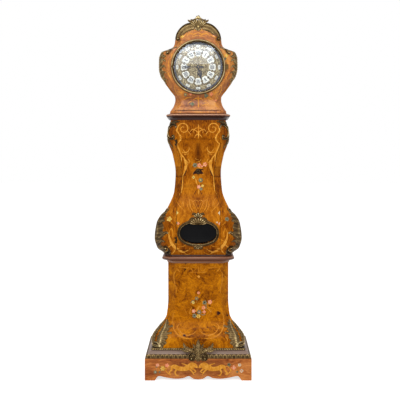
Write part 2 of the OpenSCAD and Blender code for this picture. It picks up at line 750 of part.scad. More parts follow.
// Rows of a corner mount from its foot: share of its height, and shares of its reach at the inner and outer edge
function sized(foot, h, w, rows) = [for (r = rows) [foot + h * r[0], w * r[1], w * r[2]]];
module pedestal_mounts() {
    cant_mid = [pedestal_foot_half - pedestal_cant / 2, back_y - pedestal_foot_depth + pedestal_cant / 2];
    foot_w = pedestal_cant + 10;
    foot_t = mount_reach - 0.2;
    foot_h = 2 * bead_h;
    color(gilt)
        both_sides() {
            corner_mount(pedestal, pedestal_cant, sized(pedestal_z + 1, pedestal_mount_h, pedestal_mount_w, [
                [0, -0.146, 0.75], [0.101, -0.292, 0.917], [0.234, -0.396, 1], [0.392, -0.385, 1],
                [0.519, -0.188, 0.958], [0.709, 0.208, 0.917], [0.911, 0.521, 0.875], [1, 0.646, 0.792]]));
            translate([cant_mid[0], cant_mid[1], pedestal_z])
                rotate([0, 0, 45])
                    translate([-foot_w / 2, -mount_reach, 0.2]) cube([foot_w, foot_t, foot_h]);
        }
}
module bulge_mounts() {
    color(gilt)
        both_sides()
            corner_mount(trunk, cant, sized(trunk_z + mount_t, bulge_mount_h, bulge_mount_w, [
                [0, 0.126, 0.695], [0.051, -0.042, 0.779], [0.123, -0.189, 0.884],
                [0.181, -0.211, 0.947], [0.254, 0.232, 0.968], [0.362, 0.147, 1], [0.42, 0.021, 1],
                [0.478, -0.274, 1], [0.522, -0.084, 1], [0.572, 0.032, 0.968], [0.783, 0.242, 0.905],
                [0.928, 0.421, 0.821], [1, 0.526, 0.737]]));
}
module shoulder_mounts() {
    color(gilt)
        both_sides()
            corner_mount(trunk, cant, sized(cornice_z - 4 - shoulder_mount_h, shoulder_mount_h, shoulder_mount_w, [
                [0, 0.465, 0.767], [0.15, 0.419, 0.86], [0.287, 0.279, 0.907], [0.388, 0, 0.953],
                [0.562, -0.047, 1], [0.713, 0, 0.953], [0.825, 0.163, 0.884], [0.925, -0.233, 0.837],
                [1, -0.14, 0.767]]));
}
module hood_wings() {
    color(gilt)
        both_sides()
            corner_mount(hood, hood_cant, sized(dial_z - 0.463 * wing_h, wing_h, wing_w, [
                [0, 0.537, 0.732], [0.079, 0.463, 0.805], [0.185, 0.268, 0.902], [0.296, 0.146, 0.976],
                [0.444, 0.244, 1], [0.597, 0.098, 1], [0.704, 0.195, 0.976], [0.782, 0.146, 0.927],
                [0.861, -0.171, 0.878], [0.935, -0.122, 0.805], [1, 0.073, 0.732]]));
}
crest_z = hood_z + hood_h;
crest_half = bezel_r - 35;
crest_relief = 5;
module hood_crest() {
    y = hood_face_y - cast_gap;
    t = mount_t + 4;
    tip = finial_rise / 2;
    color(gilt) {
        seen_from_front(y, t) {
            both_sides() {
                strap(spread(crest_half, finial_rise, crest_z, [
                    [0.06, 0.03, 0.209], [0.373, 0.045, 0.254], [0.627, -0.119, 0.284],
                    [0.836, -0.478, 0.254], [0.978, -0.836, 0.194], [1, -1.104, 0.134]]));
                translate([crest_half - 8, crest_z - 1.12 * finial_rise]) circle(r = mount_reach, $fn = 32);
            }
            polygon(looped(spread(crest_half, finial_rise, crest_z, [
                [0, -0.358], [0.179, -0.209], [0.254, 0.179], [0.448, 0.448], [0.328, 0.597],
                [0.134, 0.657], [-0.134, 0.657], [-0.328, 0.597], [-0.448, 0.448], [-0.254, 0.179],
                [-0.179, -0.209]])));
            translate([0, crest_z + finial_rise - tip]) leaf(tip, 0.76 * tip, 3);
        }
        seen_from_front(y - t, crest_relief)
            polygon(looped(spread(crest_half, finial_rise, crest_z, [
                [0, -0.269], [0.134, -0.06], [0.254, 0.448], [0, 0.627], [-0.254, 0.448],
                [-0.134, -0.06]])));
    }
}

// Door and what it carries
hinge_z = [trunk_z + bulge_rise - 6, door_z1 - 22];
hinge_clear = [2, 2.9];
knuckle_r = 4;
hinge_x = -door_half - door_gap / 2;
function hinge_y(z) =
    let (y0 = front_at(trunk, hinge_z[0]) - knuckle_r - hinge_clear[0],
        y1 = front_at(trunk, hinge_z[1]) - knuckle_r - hinge_clear[1])
    mix(y0, y1, (z - hinge_z[0]) / (hinge_z[1] - hinge_z[0]));
hinge_tilt = atan2(hinge_y(hinge_z[0]) - hinge_y(hinge_z[1]), hinge_z[1] - hinge_z[0]);
module on_hinge_line(z) {
    translate([hinge_x, hinge_y(z), z])
        rotate([hinge_tilt, 0, 0])
            children();
}
leaf_w = 10;
door_leaf_w = 5;
knuckle_h = 14;
hinge_h = 36;
// Distance from the hinge line back to the case between two heights
function stand_off(z0, z1) =
    min([for (i = [0 : 4]) let (z = mix(z0, z1, i / 4)) front_at(trunk, z) - hinge_y(z)]) - seat_gap;
module door_hinge_leaves() {
    color(brass)
        for (z = hinge_z)
            on_hinge_line(z) {
                difference() {
                    translate([0, 0, -hinge_h / 2]) cylinder(h = hinge_h, r = knuckle_r, $fn = 32);
                    translate([0, 0, -knuckle_h / 2 - 0.3])
                        cylinder(h = knuckle_h + 0.6, r = knuckle_r + 1, $fn = 32);
                }
                translate([0, 0, -hinge_h / 2]) cylinder(h = hinge_h, r = 1.2, $fn = 24);
                for (end = [-hinge_h / 2 + 1, knuckle_h / 2 + 1])
                    translate([-leaf_w, -1, end])
                        cube([leaf_w - 0.8, 1 + stand_off(z + end, z + end + 9), 9]);
            }
}
module door_knuckles() {
    color(brass)
        for (z = hinge_z)
            on_hinge_line(z)
                difference() {
                    union() {
                        translate([0, 0, -knuckle_h / 2]) cylinder(h = knuckle_h, r = knuckle_r, $fn = 32);
                        translate([1.2, -1, -5])
                            cube([door_leaf_w, 1 + stand_off(z - 5, z + 5), 10]);
                    }
                    translate([0, 0, -knuckle_h]) cylinder(h = 2 * knuckle_h, r = 1.25, $fn = 24);
                }
}
window_z = trunk_z + window_rise;
// Cartouche outline of the window, an oval that is a little fuller than an ellipse
function window_outline(grow) = [for (a = [0 : 6 : 354])
    let (c = cos(a), s = sin(a))
    [(window_half_w + grow) * sign(c) * pow(abs(c), 0.89), (window_half_h + grow) * sign(s) * pow(abs(s), 0.89)]];
door_bevel = 6;
module trunk_door() {
    color(wood)
        difference() {
            loft([for (z = courses(trunk, door_z0, door_z1))
                let (w = door_edge(z), f = front_at(trunk, z))
                raised([[-w, f], [w, f], [w - door_bevel, f + door_t], [-w, f + door_t]], z)]);
            translate([0, 0, window_z]) seen_from_front(0, plinth_depth / 2) polygon(window_outline(0));
            translate([0, -10, bolt_z]) rotate([90, 0, 0]) cylinder(h = cut * 2, r = 2.5, $fn = 24);
        }
}
module window_frame() {
    color(gilt)
        intersection() {
            front_sheet(trunk, window_z - window_half_h - 50, window_z + window_half_h + 62, door_half - 1,
                6, -0.0);
            translate([0, 0, window_z])
                seen_from_front(0, plinth_depth / 2)
                    difference() {
                        union() {
                            polygon(window_outline(window_frame_w));
                            translate([0, window_half_h + 4]) leaf(48, 78, 5);
                            translate([0, -window_half_h - 4]) rotate(180) leaf(40, 60, 5);
                        }
                        polygon(window_outline(-1));
                    }
        }
}
module window_glass() {
    z0 = window_z - window_half_h - 11;
    z1 = window_z + window_half_h + 11;
    color("#1a1a1e")
        front_sheet(trunk, z0, z1, window_half_w + 10, -door_t, door_t + 3);
}
module keyhole_escutcheon() {
    f = min(front_at(trunk, bolt_z - escutcheon_r), front_at(trunk, bolt_z + escutcheon_r)) - 0.3;
    color(brass)
        translate([0, f, bolt_z])
            rotate([90, 0, 0])
                difference() {
                    union() {
                        cylinder(h = 3, r = escutcheon_r);
                        translate([0, 0, 3]) rotate_extrude() translate([escutcheon_r - 4, 0]) circle(r = 2.5, $fn = 24);
                    }
                    translate([0, 0, -1]) cylinder(h = 8, r = 3, $fn = 24);
                    translate([-1.5, -10, -1]) cube([3, 10, 8]);
                }
}
lock_t = 10;
lock_y = front_at(trunk, bolt_z) + door_t + 1;
module door_lock() {
    color(brass)
        difference() {
            translate([-20, lock_y, bolt_z - 25]) cube([bolt_end + 14, lock_t, 50]);
            translate([8, bolt_y - 3.4, bolt_z - 7.4]) cube([bolt_end, 6.8, 14.8]);
            translate([0, lock_y - 1, bolt_z]) rotate([-90, 0, 0]) cylinder(h = lock_t + 2, r = 3, $fn = 24);
        }
}
module door_bolt() {
    color(steel)
        translate([20, bolt_y - 3, bolt_z - 7]) cube([bolt_end - 22, 6, 14]);
}

// Bezel, its glass, button and hinge
bezel_back = hood_face_y - 0.3;
bezel_t = 17;
button_x = bezel_r - 9;
button_stem_r = 2.2;
bezel_hinge_x = bezel_r + 4.5;
bezel_hinge_y = bezel_back - 8;
module turned_ring() {
    translate([0, bezel_back, dial_z])
        rotate([90, 0, 0])
            rotate_extrude($fn = 96)
                children();
}
module bezel() {
    color(gilt) {
        difference() {
            turned_ring() {
                difference() {
                    translate([sight_r, 0]) square([bezel_r - sight_r, 9]);
                    translate([sight_r, 0]) square([4.3, 5.6]);
                }
                translate([bezel_r - 7, 9.5]) circle(r = 6.5, $fn = 32);
                translate([sight_r + 4, 9.5]) circle(r = 4, $fn = 32);
                translate([sight_r + 4.3, -5]) square([1.4, 6]);
            }
            translate([-button_x, bezel_back + 1, dial_z]) rotate([90, 0, 0]) cylinder(h = 30, r = 5.4, $fn = 32);
        }
        for (z = [dial_z - 22, dial_z + 22])
            difference() {
                union() {
                    translate([bezel_hinge_x, bezel_hinge_y, z - 7]) cylinder(h = 14, r = 3.5, $fn = 32);
                    translate([bezel_r - 6, bezel_hinge_y - 2, z - 7]) cube([8, 4, 14]);
                }
                translate([bezel_hinge_x, bezel_hinge_y, z - 8]) cylinder(h = 16, r = 1.55, $fn = 24);
            }
    }
}
module dial_glass() {
    rim = sight_r + 4;
    open_r = sight_r - 0.6;
    dome_r = (open_r * open_r + glass_rise * glass_rise) / (2 * glass_rise);
    rise = function (r) sqrt(dome_r * dome_r - r * r) - dome_r + glass_rise;
    outer = [for (i = [0 : 10]) let (r = open_r * (1 - i / 10)) [max(r, 0), 5.4 + rise(r)]];
    inner = [for (i = [0 : 10]) let (r = (open_r - 1) * i / 10) [r, 5.4 - glass_t + max(rise(r) - 0.2, 0)]];
    color([0.8, 0.85, 0.9, 0.3])
        turned_ring() polygon(concat([[rim, 5.4 - glass_t], [rim, 5.4]], outer, inner));
}
module bezel_button() {
    color(brass)
        translate([-button_x, bezel_back, dial_z])
            rotate([90, 0, 0]) {
                translate([0, 0, 5]) cylinder(h = 16, r = 5.1, $fn = 32);
                translate([0, 0, 21]) scale(1) sphere(r = 5.1, $fn = 32);
                translate([0, 0, -6]) cylinder(h = 12, r = button_stem_r, $fn = 24);
            }
}
module bezel_hinge() {
    color(brass) {
        difference() {
            union() {
                translate([bezel_hinge_x, bezel_hinge_y, dial_z - 14.7]) cylinder(h = 29.4, r = 3.5, $fn = 32);
                translate([bezel_hinge_x - 1, bezel_hinge_y, dial_z - 14.7]) cube([12, 7.7, 29.4]);
            }
        }
        translate([bezel_hinge_x, bezel_hinge_y, dial_z - 29]) cylinder(h = 58, r = 1.5, $fn = 24);
    }
}

// Dial
dial_y = hood_face_y + case_wall;
movement_front = -30;
module on_dial(y, t) {
    translate([0, 0, dial_z]) seen_from_front(y, t) children();
}
module round_on_dial(y, t, r, inner = 0) {
    translate([0, y, dial_z])
        rotate([90, 0, 0])
            difference() {
                cylinder(h = t, r = r);
                if (inner > 0) translate([0, 0, -1]) cylinder(h = t + 2, r = inner, $fn = 32);
            }
}
pipe_hole_r = 7;
winding_z = great_r + leaves * great_r / great_teeth;
module dial_plate() {
    color(brass) {
        difference() {
            round_on_dial(dial_y + 2.5, 2.5, dial_r, pipe_hole_r);
            translate([0, dial_y + 4, dial_z - winding_z]) rotate([90, 0, 0]) cylinder(h = 8, r = 6, $fn = 32);
        }
        for (x = [-44, 44], z = [-84, 84])
            translate([x, movement_front, dial_z + z])
                rotate([90, 0, 0]) cylinder(h = movement_front - dial_y - 2.5, r = 3, $fn = 24);
    }
}
module dial_rim() {
    color("#16204a") round_on_dial(dial_y, 2, dial_hole_r - 1, minute_ring_r + minute_plaque_h / 2 + 3);
}
module plaque(h, outer_w, inner_w) {
    polygon(looped([[-outer_w * 0.5, h * 0.34], [-outer_w * 0.28, h * 0.42], [0, h * 0.5],
        [outer_w * 0.28, h * 0.42], [outer_w * 0.5, h * 0.34], [inner_w * 0.44, 0], [inner_w * 0.46, -h * 0.38],
        [inner_w * 0.2, -h * 0.46], [-inner_w * 0.2, -h * 0.46], [-inner_w * 0.46, -h * 0.38],
        [-inner_w * 0.44, 0]], 3));
}
module dial_plaques() {
    color(enamel)
        for (i = [0 : 11])
            translate([0, 0, dial_z])
                rotate([0, i * 30, 0]) {
                    seen_from_front(dial_y, 2.6)
                        translate([0, hour_ring_r]) plaque(hour_plaque_h, 38, 26);
                    seen_from_front(dial_y, 2.2)
                        translate([0, minute_ring_r]) plaque(minute_plaque_h, 26, 24);
                }
}
module dial_centre() {
    color(brass)
        difference() {
            translate([0, dial_y, dial_z])
                rotate([90, 0, 0])
                    rotate_extrude()
                        polygon([[pipe_hole_r, 0], [centre_disc_r, 0], [centre_disc_r, 1.4], [centre_disc_r - 3, 2.4],
                            [centre_disc_r * 0.6, 1.4], [14, 2.4], [pipe_hole_r, 2.4]]);
            translate([0, dial_y + 4, dial_z - winding_z]) rotate([90, 0, 0]) cylinder(h = 12, r = 6, $fn = 32);
        }
}
minute_hand_y = dial_y - 11;
hour_hand_y = dial_y - 5;
module minute_hand() {
    color(steel)
        translate([0, 0, dial_z])
            rotate([0, minute_rest, 0])
                difference() {
                    union() {
                        seen_from_front(minute_hand_y, 1.4) {
                            circle(r = 7, $fn = 32);
                            strap([[0, 4, 5], [0, 34, 3], [0, 60, 3.4], [0, minute_hand_l, 0.8]]);
                            translate([0, -26]) strap([[0, 0, 2], [0, 12, 8], [0, 22, 4]]);
                            translate([0, 62]) circle(r = 5.5, $fn = 24);
                        }
                        seen_from_front(minute_hand_y - 1.4, 3) circle(r = 4.5, $fn = 24);
                    }
                    seen_from_front(minute_hand_y + 1, 6) circle(r = arbor_r + 0.05, $fn = 24);
                    seen_from_front(minute_hand_y + 1, 6) translate([0, 62]) circle(r = 3, $fn = 24);
                }
}
module hour_hand() {
    color(steel)
        translate([0, 0, dial_z])
            rotate([0, hour_rest, 0]) {
                seen_from_front(hour_hand_y, 1.4) {
                    translate([0, 7]) strap([[0, 0, 6], [0, 16, 4], [0, 30, 5]]);
                    translate([0, 50]) strap([[0, 0, 6], [0, 8, 4], [0, hour_hand_l - 50, 1.2]]);
                }
                seen_from_front(hour_hand_y + 0.2, 2)
                    difference() {
                        circle(r = 9, $fn = 32);
                        circle(r = hour_pipe_r + 0.05, $fn = 32);
                    }
                seen_from_front(hour_hand_y + 0.2, 2)
                    translate([0, 43])
                        difference() {
                            circle(r = 9, $fn = 32);
                            circle(r = 5.5, $fn = 32);
                        }
            }
}

// Movement: plates and wheels, all on arbors along y
mid_y = movement_front + plate_t;
rear_y = mid_y + plate_gap;
arbor_r = 2;
hour_pipe_r = 5.2;
great_at = [0, -winding_z];
third_at = [14, sqrt(pow(centre_r * (1 + leaves / centre_teeth), 2) - 14 * 14)];
escape_at = [0, third_at[1] + sqrt(pow(third_r * (1 + leaves / third_teeth), 2) - 14 * 14)];
anchor_at = [0, escape_at[1] + escape_r * 1.42];
motion_gap = 19.2;
minute_at = [-motion_gap * cos(20), -motion_gap * sin(20)];
function bearing(a, b) = atan2(b[1] - a[1], b[0] - a[0]);
// Wheel outline with straight-flanked teeth, one of them centred on the angle turn
module toothed(n, r, out, deep, root_share, tip_share, turn) {
    pitch = 360 / n;
    polygon([for (i = [0 : n - 1]) for (q = [[-root_share, r - deep], [-tip_share, r + out],
            [tip_share, r + out], [root_share, r - deep]])
        let (a = turn + pitch * (i + q[0])) [q[1] * cos(a), q[1] * sin(a)]]);
}
module wheel(n, r, turn, spokes = 5) {
    m = 2 * r / n;
    difference() {
        toothed(n, r, m * 0.85, m * 1.35, 0.21, 0.09, turn);
        for (i = [0 : spokes - 1])
            rotate(i * 360 / spokes) translate([r * 0.52, 0]) circle(r = r * 0.24, $fn = 24);
    }
}
module pinion(n, r, turn) {
    m = 2 * r / n;
    toothed(n, r, m * 0.7, m * 1.3, 0.2, 0.12, turn);
}
module at_arbor(p, y, t) {
    translate([p[0], 0, dial_z + p[1]]) seen_from_front(y, t) children();
}
module arbor(p, y0, y1, r) {
    translate([p[0], y1, dial_z + p[1]]) rotate([90, 0, 0]) cylinder(h = y1 - y0, r = r, $fn = 24);
}
pivot_r = 1.2;
drum_arbor_r = 4;
pillar_x = 48;
module movement_frame() {
    color(brass) {
        for (y = [movement_front, rear_y])
            difference() {
                translate([-plate_half, y, seat_top]) cube([2 * plate_half, plate_t, anchor_at[1] + 122]);
                for (p = [third_at, escape_at])
                    arbor(p, y - 1, y + plate_t + 1, pivot_r + 0.05);
                for (p = [[0, 0], anchor_at])
                    arbor(p, y - 1, y + plate_t + 1, arbor_r + 0.05);
                arbor(great_at, y - 1, y + plate_t + 1, drum_arbor_r + 0.05);
            }
        for (x = [-pillar_x, pillar_x], z = [12, anchor_at[1] + 110])
            translate([x, mid_y, seat_top + z])
                rotate([-90, 0, 0])
                    rotate_extrude($fn = 32)
                        polygon([[0, 0], [6, 0], [6, 3], [4, 6], [5, plate_gap / 2], [4, plate_gap - 6],
                            [6, plate_gap - 3], [6, plate_gap], [0, plate_gap]]);
        translate([line_x - line_d / 2, weight_y, seat_top - seat_t])
            cylinder(h = dial_z - winding_z - seat_top + seat_t, r = line_d / 2 - 0.05, $fn = 16);
    }
}
module great_wheel() {
    color(brass)
        difference() {
            at_arbor(great_at, 22, 3) wheel(great_teeth, great_r, bearing(great_at, [0, 0]), 6);
            arbor(great_at, 10, 30, drum_arbor_r + 0.1);
        }
}
module winding_drum() {
    color(brass) {
        arbor(great_at, -22, 16, drum_r);
        arbor(great_at, 16, 18, drum_r + 2);
        arbor(great_at, -24, -22, drum_r + 2);
        arbor(great_at, movement_front, rear_y + plate_t, drum_arbor_r);
        translate([-2.8, dial_y - 1.5, dial_z + great_at[1] - 2.8])
            cube([5.6, movement_front - dial_y + 1.5, 5.6]);
    }
}
module centre_wheel() {
    color(brass) {
        at_arbor([0, 0], -5, 3) wheel(centre_teeth, centre_r, bearing([0, 0], third_at));
        at_arbor([0, 0], 24, 8) pinion(leaves, leaves * great_r / great_teeth,
            bearing([0, 0], great_at) + 180 / leaves);
        arbor([0, 0], minute_hand_y - 4, rear_y + plate_t, arbor_r);
        at_arbor([0, 0], movement_front - 2, 6) pinion(12, motion_gap / 4, bearing([0, 0], minute_at) + 15);
    }
}
module third_wheel() {
    color(brass) {
        at_arbor(third_at, 10, 2.5) wheel(third_teeth, third_r, bearing(third_at, escape_at));
        at_arbor(third_at, -3, 7) pinion(leaves, leaves * centre_r / centre_teeth,
            bearing(third_at, [0, 0]) + 180 / leaves);
        arbor(third_at, movement_front, rear_y + plate_t, pivot_r);
    }
}
module escape_wheel() {
    color(brass) {
        at_arbor(escape_at, -16, 2)
            difference() {
                polygon([for (i = [0 : escape_teeth - 1]) for (q = [[0, 0.84], [0.04, 1], [0.1, 1], [0.5, 0.84]])
                    let (a = 360 / escape_teeth * (i + q[0])) [escape_r * q[1] * cos(a), escape_r * q[1] * sin(a)]]);
                for (i = [0 : 4]) rotate(i * 72) translate([escape_r * 0.5, 0]) circle(r = 4.4, $fn = 24);
            }
        at_arbor(escape_at, 13, 8) pinion(leaves, leaves * third_r / third_teeth,
            bearing(escape_at, third_at) + 180 / leaves);
        arbor(escape_at, movement_front, rear_y + plate_t, pivot_r);
    }
}
module minute_wheel() {
    color(brass) {
        at_arbor(minute_at, movement_front - 3, 2) wheel(36, motion_gap * 0.75, bearing(minute_at, [0, 0]));
        at_arbor(minute_at, movement_front - 5, 8) pinion(10, motion_gap / 5, bearing(minute_at, [0, 0]));
        arbor(minute_at, movement_front - 14, movement_front, 1.5);
    }
}
module hour_wheel() {
    color(brass)
        difference() {
            union() {
                at_arbor([0, 0], movement_front - 10, 2) difference() {
                    toothed(40, motion_gap * 0.8, 0.6, 1.1, 0.21, 0.09, bearing([0, 0], minute_at) + 4.5);
                    for (a = [0 : 72 : 288]) rotate(a) translate([10.5, 0]) circle(r = 2.4, $fn = 24);
                }
                arbor([0, 0], hour_hand_y - 2, movement_front - 10, hour_pipe_r);
            }
            arbor([0, 0], hour_hand_y - 3, movement_front, 4.4);
        }
}
module pallets() {
    tip = [(escape_r + 1.4) * cos(45), (escape_r + 1.4) * sin(45) - (anchor_at[1] - escape_at[1])];
    crutch_y = rear_y + plate_t + 12;
    color(steel) {
        at_arbor(anchor_at, -15, 4)
            polygon([[-4, 5], [4, 5], [14, 1], [20, -6], [tip[0] + 2.6, tip[1] + 2.4], [tip[0], tip[1]],
                [tip[0] - 2, tip[1] + 2], [15, -7], [11, -3], [4, -5], [-4, -5], [-11, -3], [-15, -7],
                [-tip[0] + 2, tip[1] + 2], [-tip[0], tip[1]], [-tip[0] - 2.6, tip[1] + 2.4], [-20, -6], [-14, 1]]);
        arbor(anchor_at, movement_front, crutch_y + 2, arbor_r);
        at_arbor(anchor_at, crutch_y, 3)
            polygon([[-5, 5], [-5, -5], [-2.5, -20], [-2.5, -94], [-4, -98], [-3, -104], [3, -104], [4, -98],
                [2.5, -94], [2.5, -20], [5, -5], [5, 5]]);
        translate([0, pendulum_y + 7, dial_z + anchor_at[1] - 98])
            rotate([90, 0, 0]) cylinder(h = pendulum_y + 8 - crutch_y, r = 1.5, $fn = 24);
    }
}
pendulum_y = 62;
pivot_z = dial_z + anchor_at[1];
module back_cock() {
    y0 = rear_y + plate_t;
    color(brass) {
        translate([-16, y0, pivot_z + 8]) cube([32, pendulum_y - y0 + 10, 8]);
        translate([-16, y0, pivot_z - 6]) cube([8, 6, 14]);
        translate([8, y0, pivot_z - 6]) cube([8, 6, 14]);
        translate([-6, pendulum_y - 4, pivot_z + 2]) cube([12, 8, 6]);
        translate([-4, pendulum_y - 0.3, pivot_z - 14]) cube([8, 0.6, 16]);
    }
}

// Pendulum, bob, nut, weight and line
bob_z = pivot_z - pendulum_l;
module pendulum() {
    color(brass) {
        translate([0, pendulum_y, bob_z - bob_r - 34])
            cylinder(h = 2 * bob_r + 34 + 30, r = rod_r - 1.2, $fn = 32);
        difference() {
            translate([0, pendulum_y, bob_z + bob_r + 20])
                cylinder(h = pendulum_l - bob_r - 20 - 26, r = rod_r, $fn = 32);
            translate([-2, pendulum_y - 10, pivot_z - 106]) cube([4, 20, 16]);
        }
        difference() {
            translate([-7, pendulum_y - 5, pivot_z - 30]) cube([14, 10, 22]);
            translate([-5.2, pendulum_y - 0.6, pivot_z - 16]) cube([10.4, 1.2, 9]);
        }
    }
}
module pendulum_bob() {
    edge = 4;
    bulge_r = (bob_r * bob_r + pow(bob_t / 2 - edge / 2, 2)) / (bob_t - edge);
    face = [for (i = [0 : 10]) let (r = bob_r * i / 10)
        [r, bob_t / 2 - bulge_r + sqrt(bulge_r * bulge_r - r * r)]];
    color(brass)
        difference() {
            translate([0, pendulum_y, bob_z])
                rotate([90, 0, 0])
                    rotate_extrude($fn = 64)
                        polygon(concat([[0, -bob_t / 2]], [for (p = face) [p[0], -p[1]]],
                            [for (i = [10 : -1 : 0]) face[i]]));
            translate([0, pendulum_y, bob_z - bob_r - 5]) cylinder(h = 2 * bob_r + 10, r = rod_r - 1.1, $fn = 32);
        }
}
nut_h = 10;
module rating_nut() {
    color(brass)
        difference() {
            translate([0, pendulum_y, bob_z - bob_r - nut_h - 0.2]) cylinder(h = nut_h, r = 12, $fn = 48);
            translate([0, pendulum_y, bob_z - bob_r - nut_h - 1]) cylinder(h = nut_h + 2, r = rod_r - 1.1, $fn = 32);
        }
}
line_x = -drum_r;
pulley_x = line_x - line_d / 2 - pulley_r;
weight_y = -3;
pulley_half = 3;
module weight() {
    head_z = pulley_low - pulley_r - 14;
    color(brass) {
        translate([pulley_x, weight_y, head_z - 8])
            mirror([0, 0, 1])
                rotate_extrude()
                    polygon([[0, 0], [10, 0], [weight_r - 6, 4], [weight_r, 10], [weight_r, weight_l - 10],
                        [weight_r - 6, weight_l - 3], [0, weight_l]]);
        translate([pulley_x, weight_y, head_z - 9]) cylinder(h = 10, r = 4, $fn = 32);
        translate([pulley_x - 5, weight_y - pulley_half - 4, head_z]) cube([10, 2 * pulley_half + 8, 4]);
        for (y = [-pulley_half - 4, pulley_half + 1])
            translate([pulley_x - 5, weight_y + y, head_z]) cube([10, 3, pulley_low - head_z + 6]);
        translate([pulley_x, weight_y + pulley_half + 4, pulley_low])
            rotate([90, 0, 0]) cylinder(h = 2 * pulley_half + 8, r = 1.5, $fn = 24);
    }
}
module weight_pulley() {
    color(brass)
        translate([pulley_x, weight_y + pulley_half, pulley_low])
            rotate([90, 0, 0])
                rotate_extrude()
                    polygon([[1.6, 0], [pulley_r + 2, 0], [pulley_r - line_d / 2, pulley_half - 0.6],
                        [pulley_r - line_d / 2, pulley_half + 0.6], [pulley_r + 2, 2 * pulley_half],
                        [1.6, 2 * pulley_half]]);
}
module weight_line() {
    color("#7a6a48")
        for (x = [line_x - line_d / 2, line_x - 2 * pulley_r - line_d / 2])
            translate([x, weight_y, pulley_low])
                cylinder(h = seat_top - seat_t - pulley_low - 0.1, r = line_d / 2 - 0.05, $fn = 16);
}

plinth_front();
plinth_sides();
plinth_back();
base_board();
leaf_moulding();
cove_moulding();
bead_moulding();
pedestal_front();
pedestal_sides();
waist_moulding();
trunk_front();
trunk_sides();
back_boards();
trunk_top_board();
cornice();
hood_ledge();
hood_front();
hood_sides();
hood_top();
seat_board();
plinth_mount();
pedestal_mounts();
bulge_mounts();
shoulder_mounts();
hood_wings();
hood_crest();
door_hinge_leaves();
trunk_door();
door_knuckles();
window_frame();
window_glass();
keyhole_escutcheon();
door_lock();
door_bolt();
bezel();
dial_glass();
bezel_button();
bezel_hinge();
dial_plate();
dial_rim();
dial_plaques();
dial_centre();
minute_hand();
hour_hand();
movement_frame();
great_wheel();
winding_drum();
centre_wheel();
minute_wheel();
hour_wheel();
third_wheel();
escape_wheel();
pallets();
back_cock();
pendulum();
pendulum_bob();
rating_nut();
weight();
weight_pulley();
weight_line();
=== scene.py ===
# %% [markdown]
# A longcase clock, dressed for its picture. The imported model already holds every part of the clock, so this
# lesson only gives it looks: smooth veneered skins over the bombé case, marquetry, cast bronze mounts, an
# enamelled dial and polished wheels. All sizes below are in millimetres, as on a maker's drawing, and are
# turned into metres where a mesh is made.

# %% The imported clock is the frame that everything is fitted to
import math

import bpy
import bmesh
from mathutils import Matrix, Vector


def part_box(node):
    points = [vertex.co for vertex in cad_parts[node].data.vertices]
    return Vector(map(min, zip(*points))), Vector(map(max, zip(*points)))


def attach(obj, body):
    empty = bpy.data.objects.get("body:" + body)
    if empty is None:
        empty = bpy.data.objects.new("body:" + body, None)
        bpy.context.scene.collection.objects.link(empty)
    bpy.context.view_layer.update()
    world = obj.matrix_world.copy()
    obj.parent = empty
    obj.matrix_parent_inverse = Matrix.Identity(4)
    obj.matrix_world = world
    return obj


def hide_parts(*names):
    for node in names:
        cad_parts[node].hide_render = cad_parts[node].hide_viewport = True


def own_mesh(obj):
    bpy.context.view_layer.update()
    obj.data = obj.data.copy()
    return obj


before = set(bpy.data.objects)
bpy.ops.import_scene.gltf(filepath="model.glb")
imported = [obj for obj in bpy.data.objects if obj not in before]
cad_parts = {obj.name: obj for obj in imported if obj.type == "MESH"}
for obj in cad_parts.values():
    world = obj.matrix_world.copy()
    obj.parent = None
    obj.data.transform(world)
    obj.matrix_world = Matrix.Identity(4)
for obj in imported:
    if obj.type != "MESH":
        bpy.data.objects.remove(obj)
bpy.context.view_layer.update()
MM = 0.001

# %% [markdown]
# The case swells and narrows in three stages: a flared pedestal, a pear-shaped trunk and a waisted hood. Each
# stage is a short list of heights with the half-width and the depth of the case there. A smooth curve through
# the list gives every level in between, so all that lies on the case can ask where it is.

# %% Stages of the case
BACK = 205.0
DIAL_Z = 1906.0
PEDESTAL_FOOT, FLARE_TOP, PEDESTAL_TOP = 187, 466, 694
TRUNK_FOOT, TRUNK_TOP = 748, 1580
HOOD_FOOT, HOOD_SHOULDER, HOOD_TOP = 1637, 2003, 2155
STAGE = {
    "pedestal": [(PEDESTAL_FOOT, 280, 355), (240.01, 272, 342), (306.97, 226, 305), (354.4, 200, 288),
        (FLARE_TOP, 189, 280), (PEDESTAL_TOP, 189, 280)],
    "trunk": [(TRUNK_FOOT, 207, 294), (793.45, 246, 313), (849, 260, 320), (941, 248, 315), (1034, 193, 299),
        (1144, 150, 275), (1256, 142, 268), (1369, 160, 278), (1444, 185, 290), (1481, 187, 292),
        (TRUNK_TOP, 172, 288)],
    "hood": [(HOOD_FOOT, 172, 290), (1673, 151, 276), (1709, 143, 270), (1739, 148, 284), (1800, 190, 287),
        (1858, 227, 287), (1906, 236, 287), (1966, 236, 287), (HOOD_SHOULDER, 222, 287), (2020, 178, 287),
        (2039, 152, 287), (2059, 145, 287), (2097, 141, 287), (2121, 130, 287), (2139, 110, 287),
        (HOOD_TOP, 74, 287)],
}
CANT = {"pedestal": 46.0, "trunk": 44.0, "hood": 40.0}


def secant(rows, k, i):
    return (rows[i + 1][k] - rows[i][k]) / (rows[i + 1][0] - rows[i][0])


def steepness(rows, k, i):
    if i == 0:
        return secant(rows, k, 0)
    if i == len(rows) - 1:
        return secant(rows, k, i - 1)
    a, b = secant(rows, k, i - 1), secant(rows, k, i)
    return 0.0 if a * b <= 0 else 2 * a * b / (a + b)


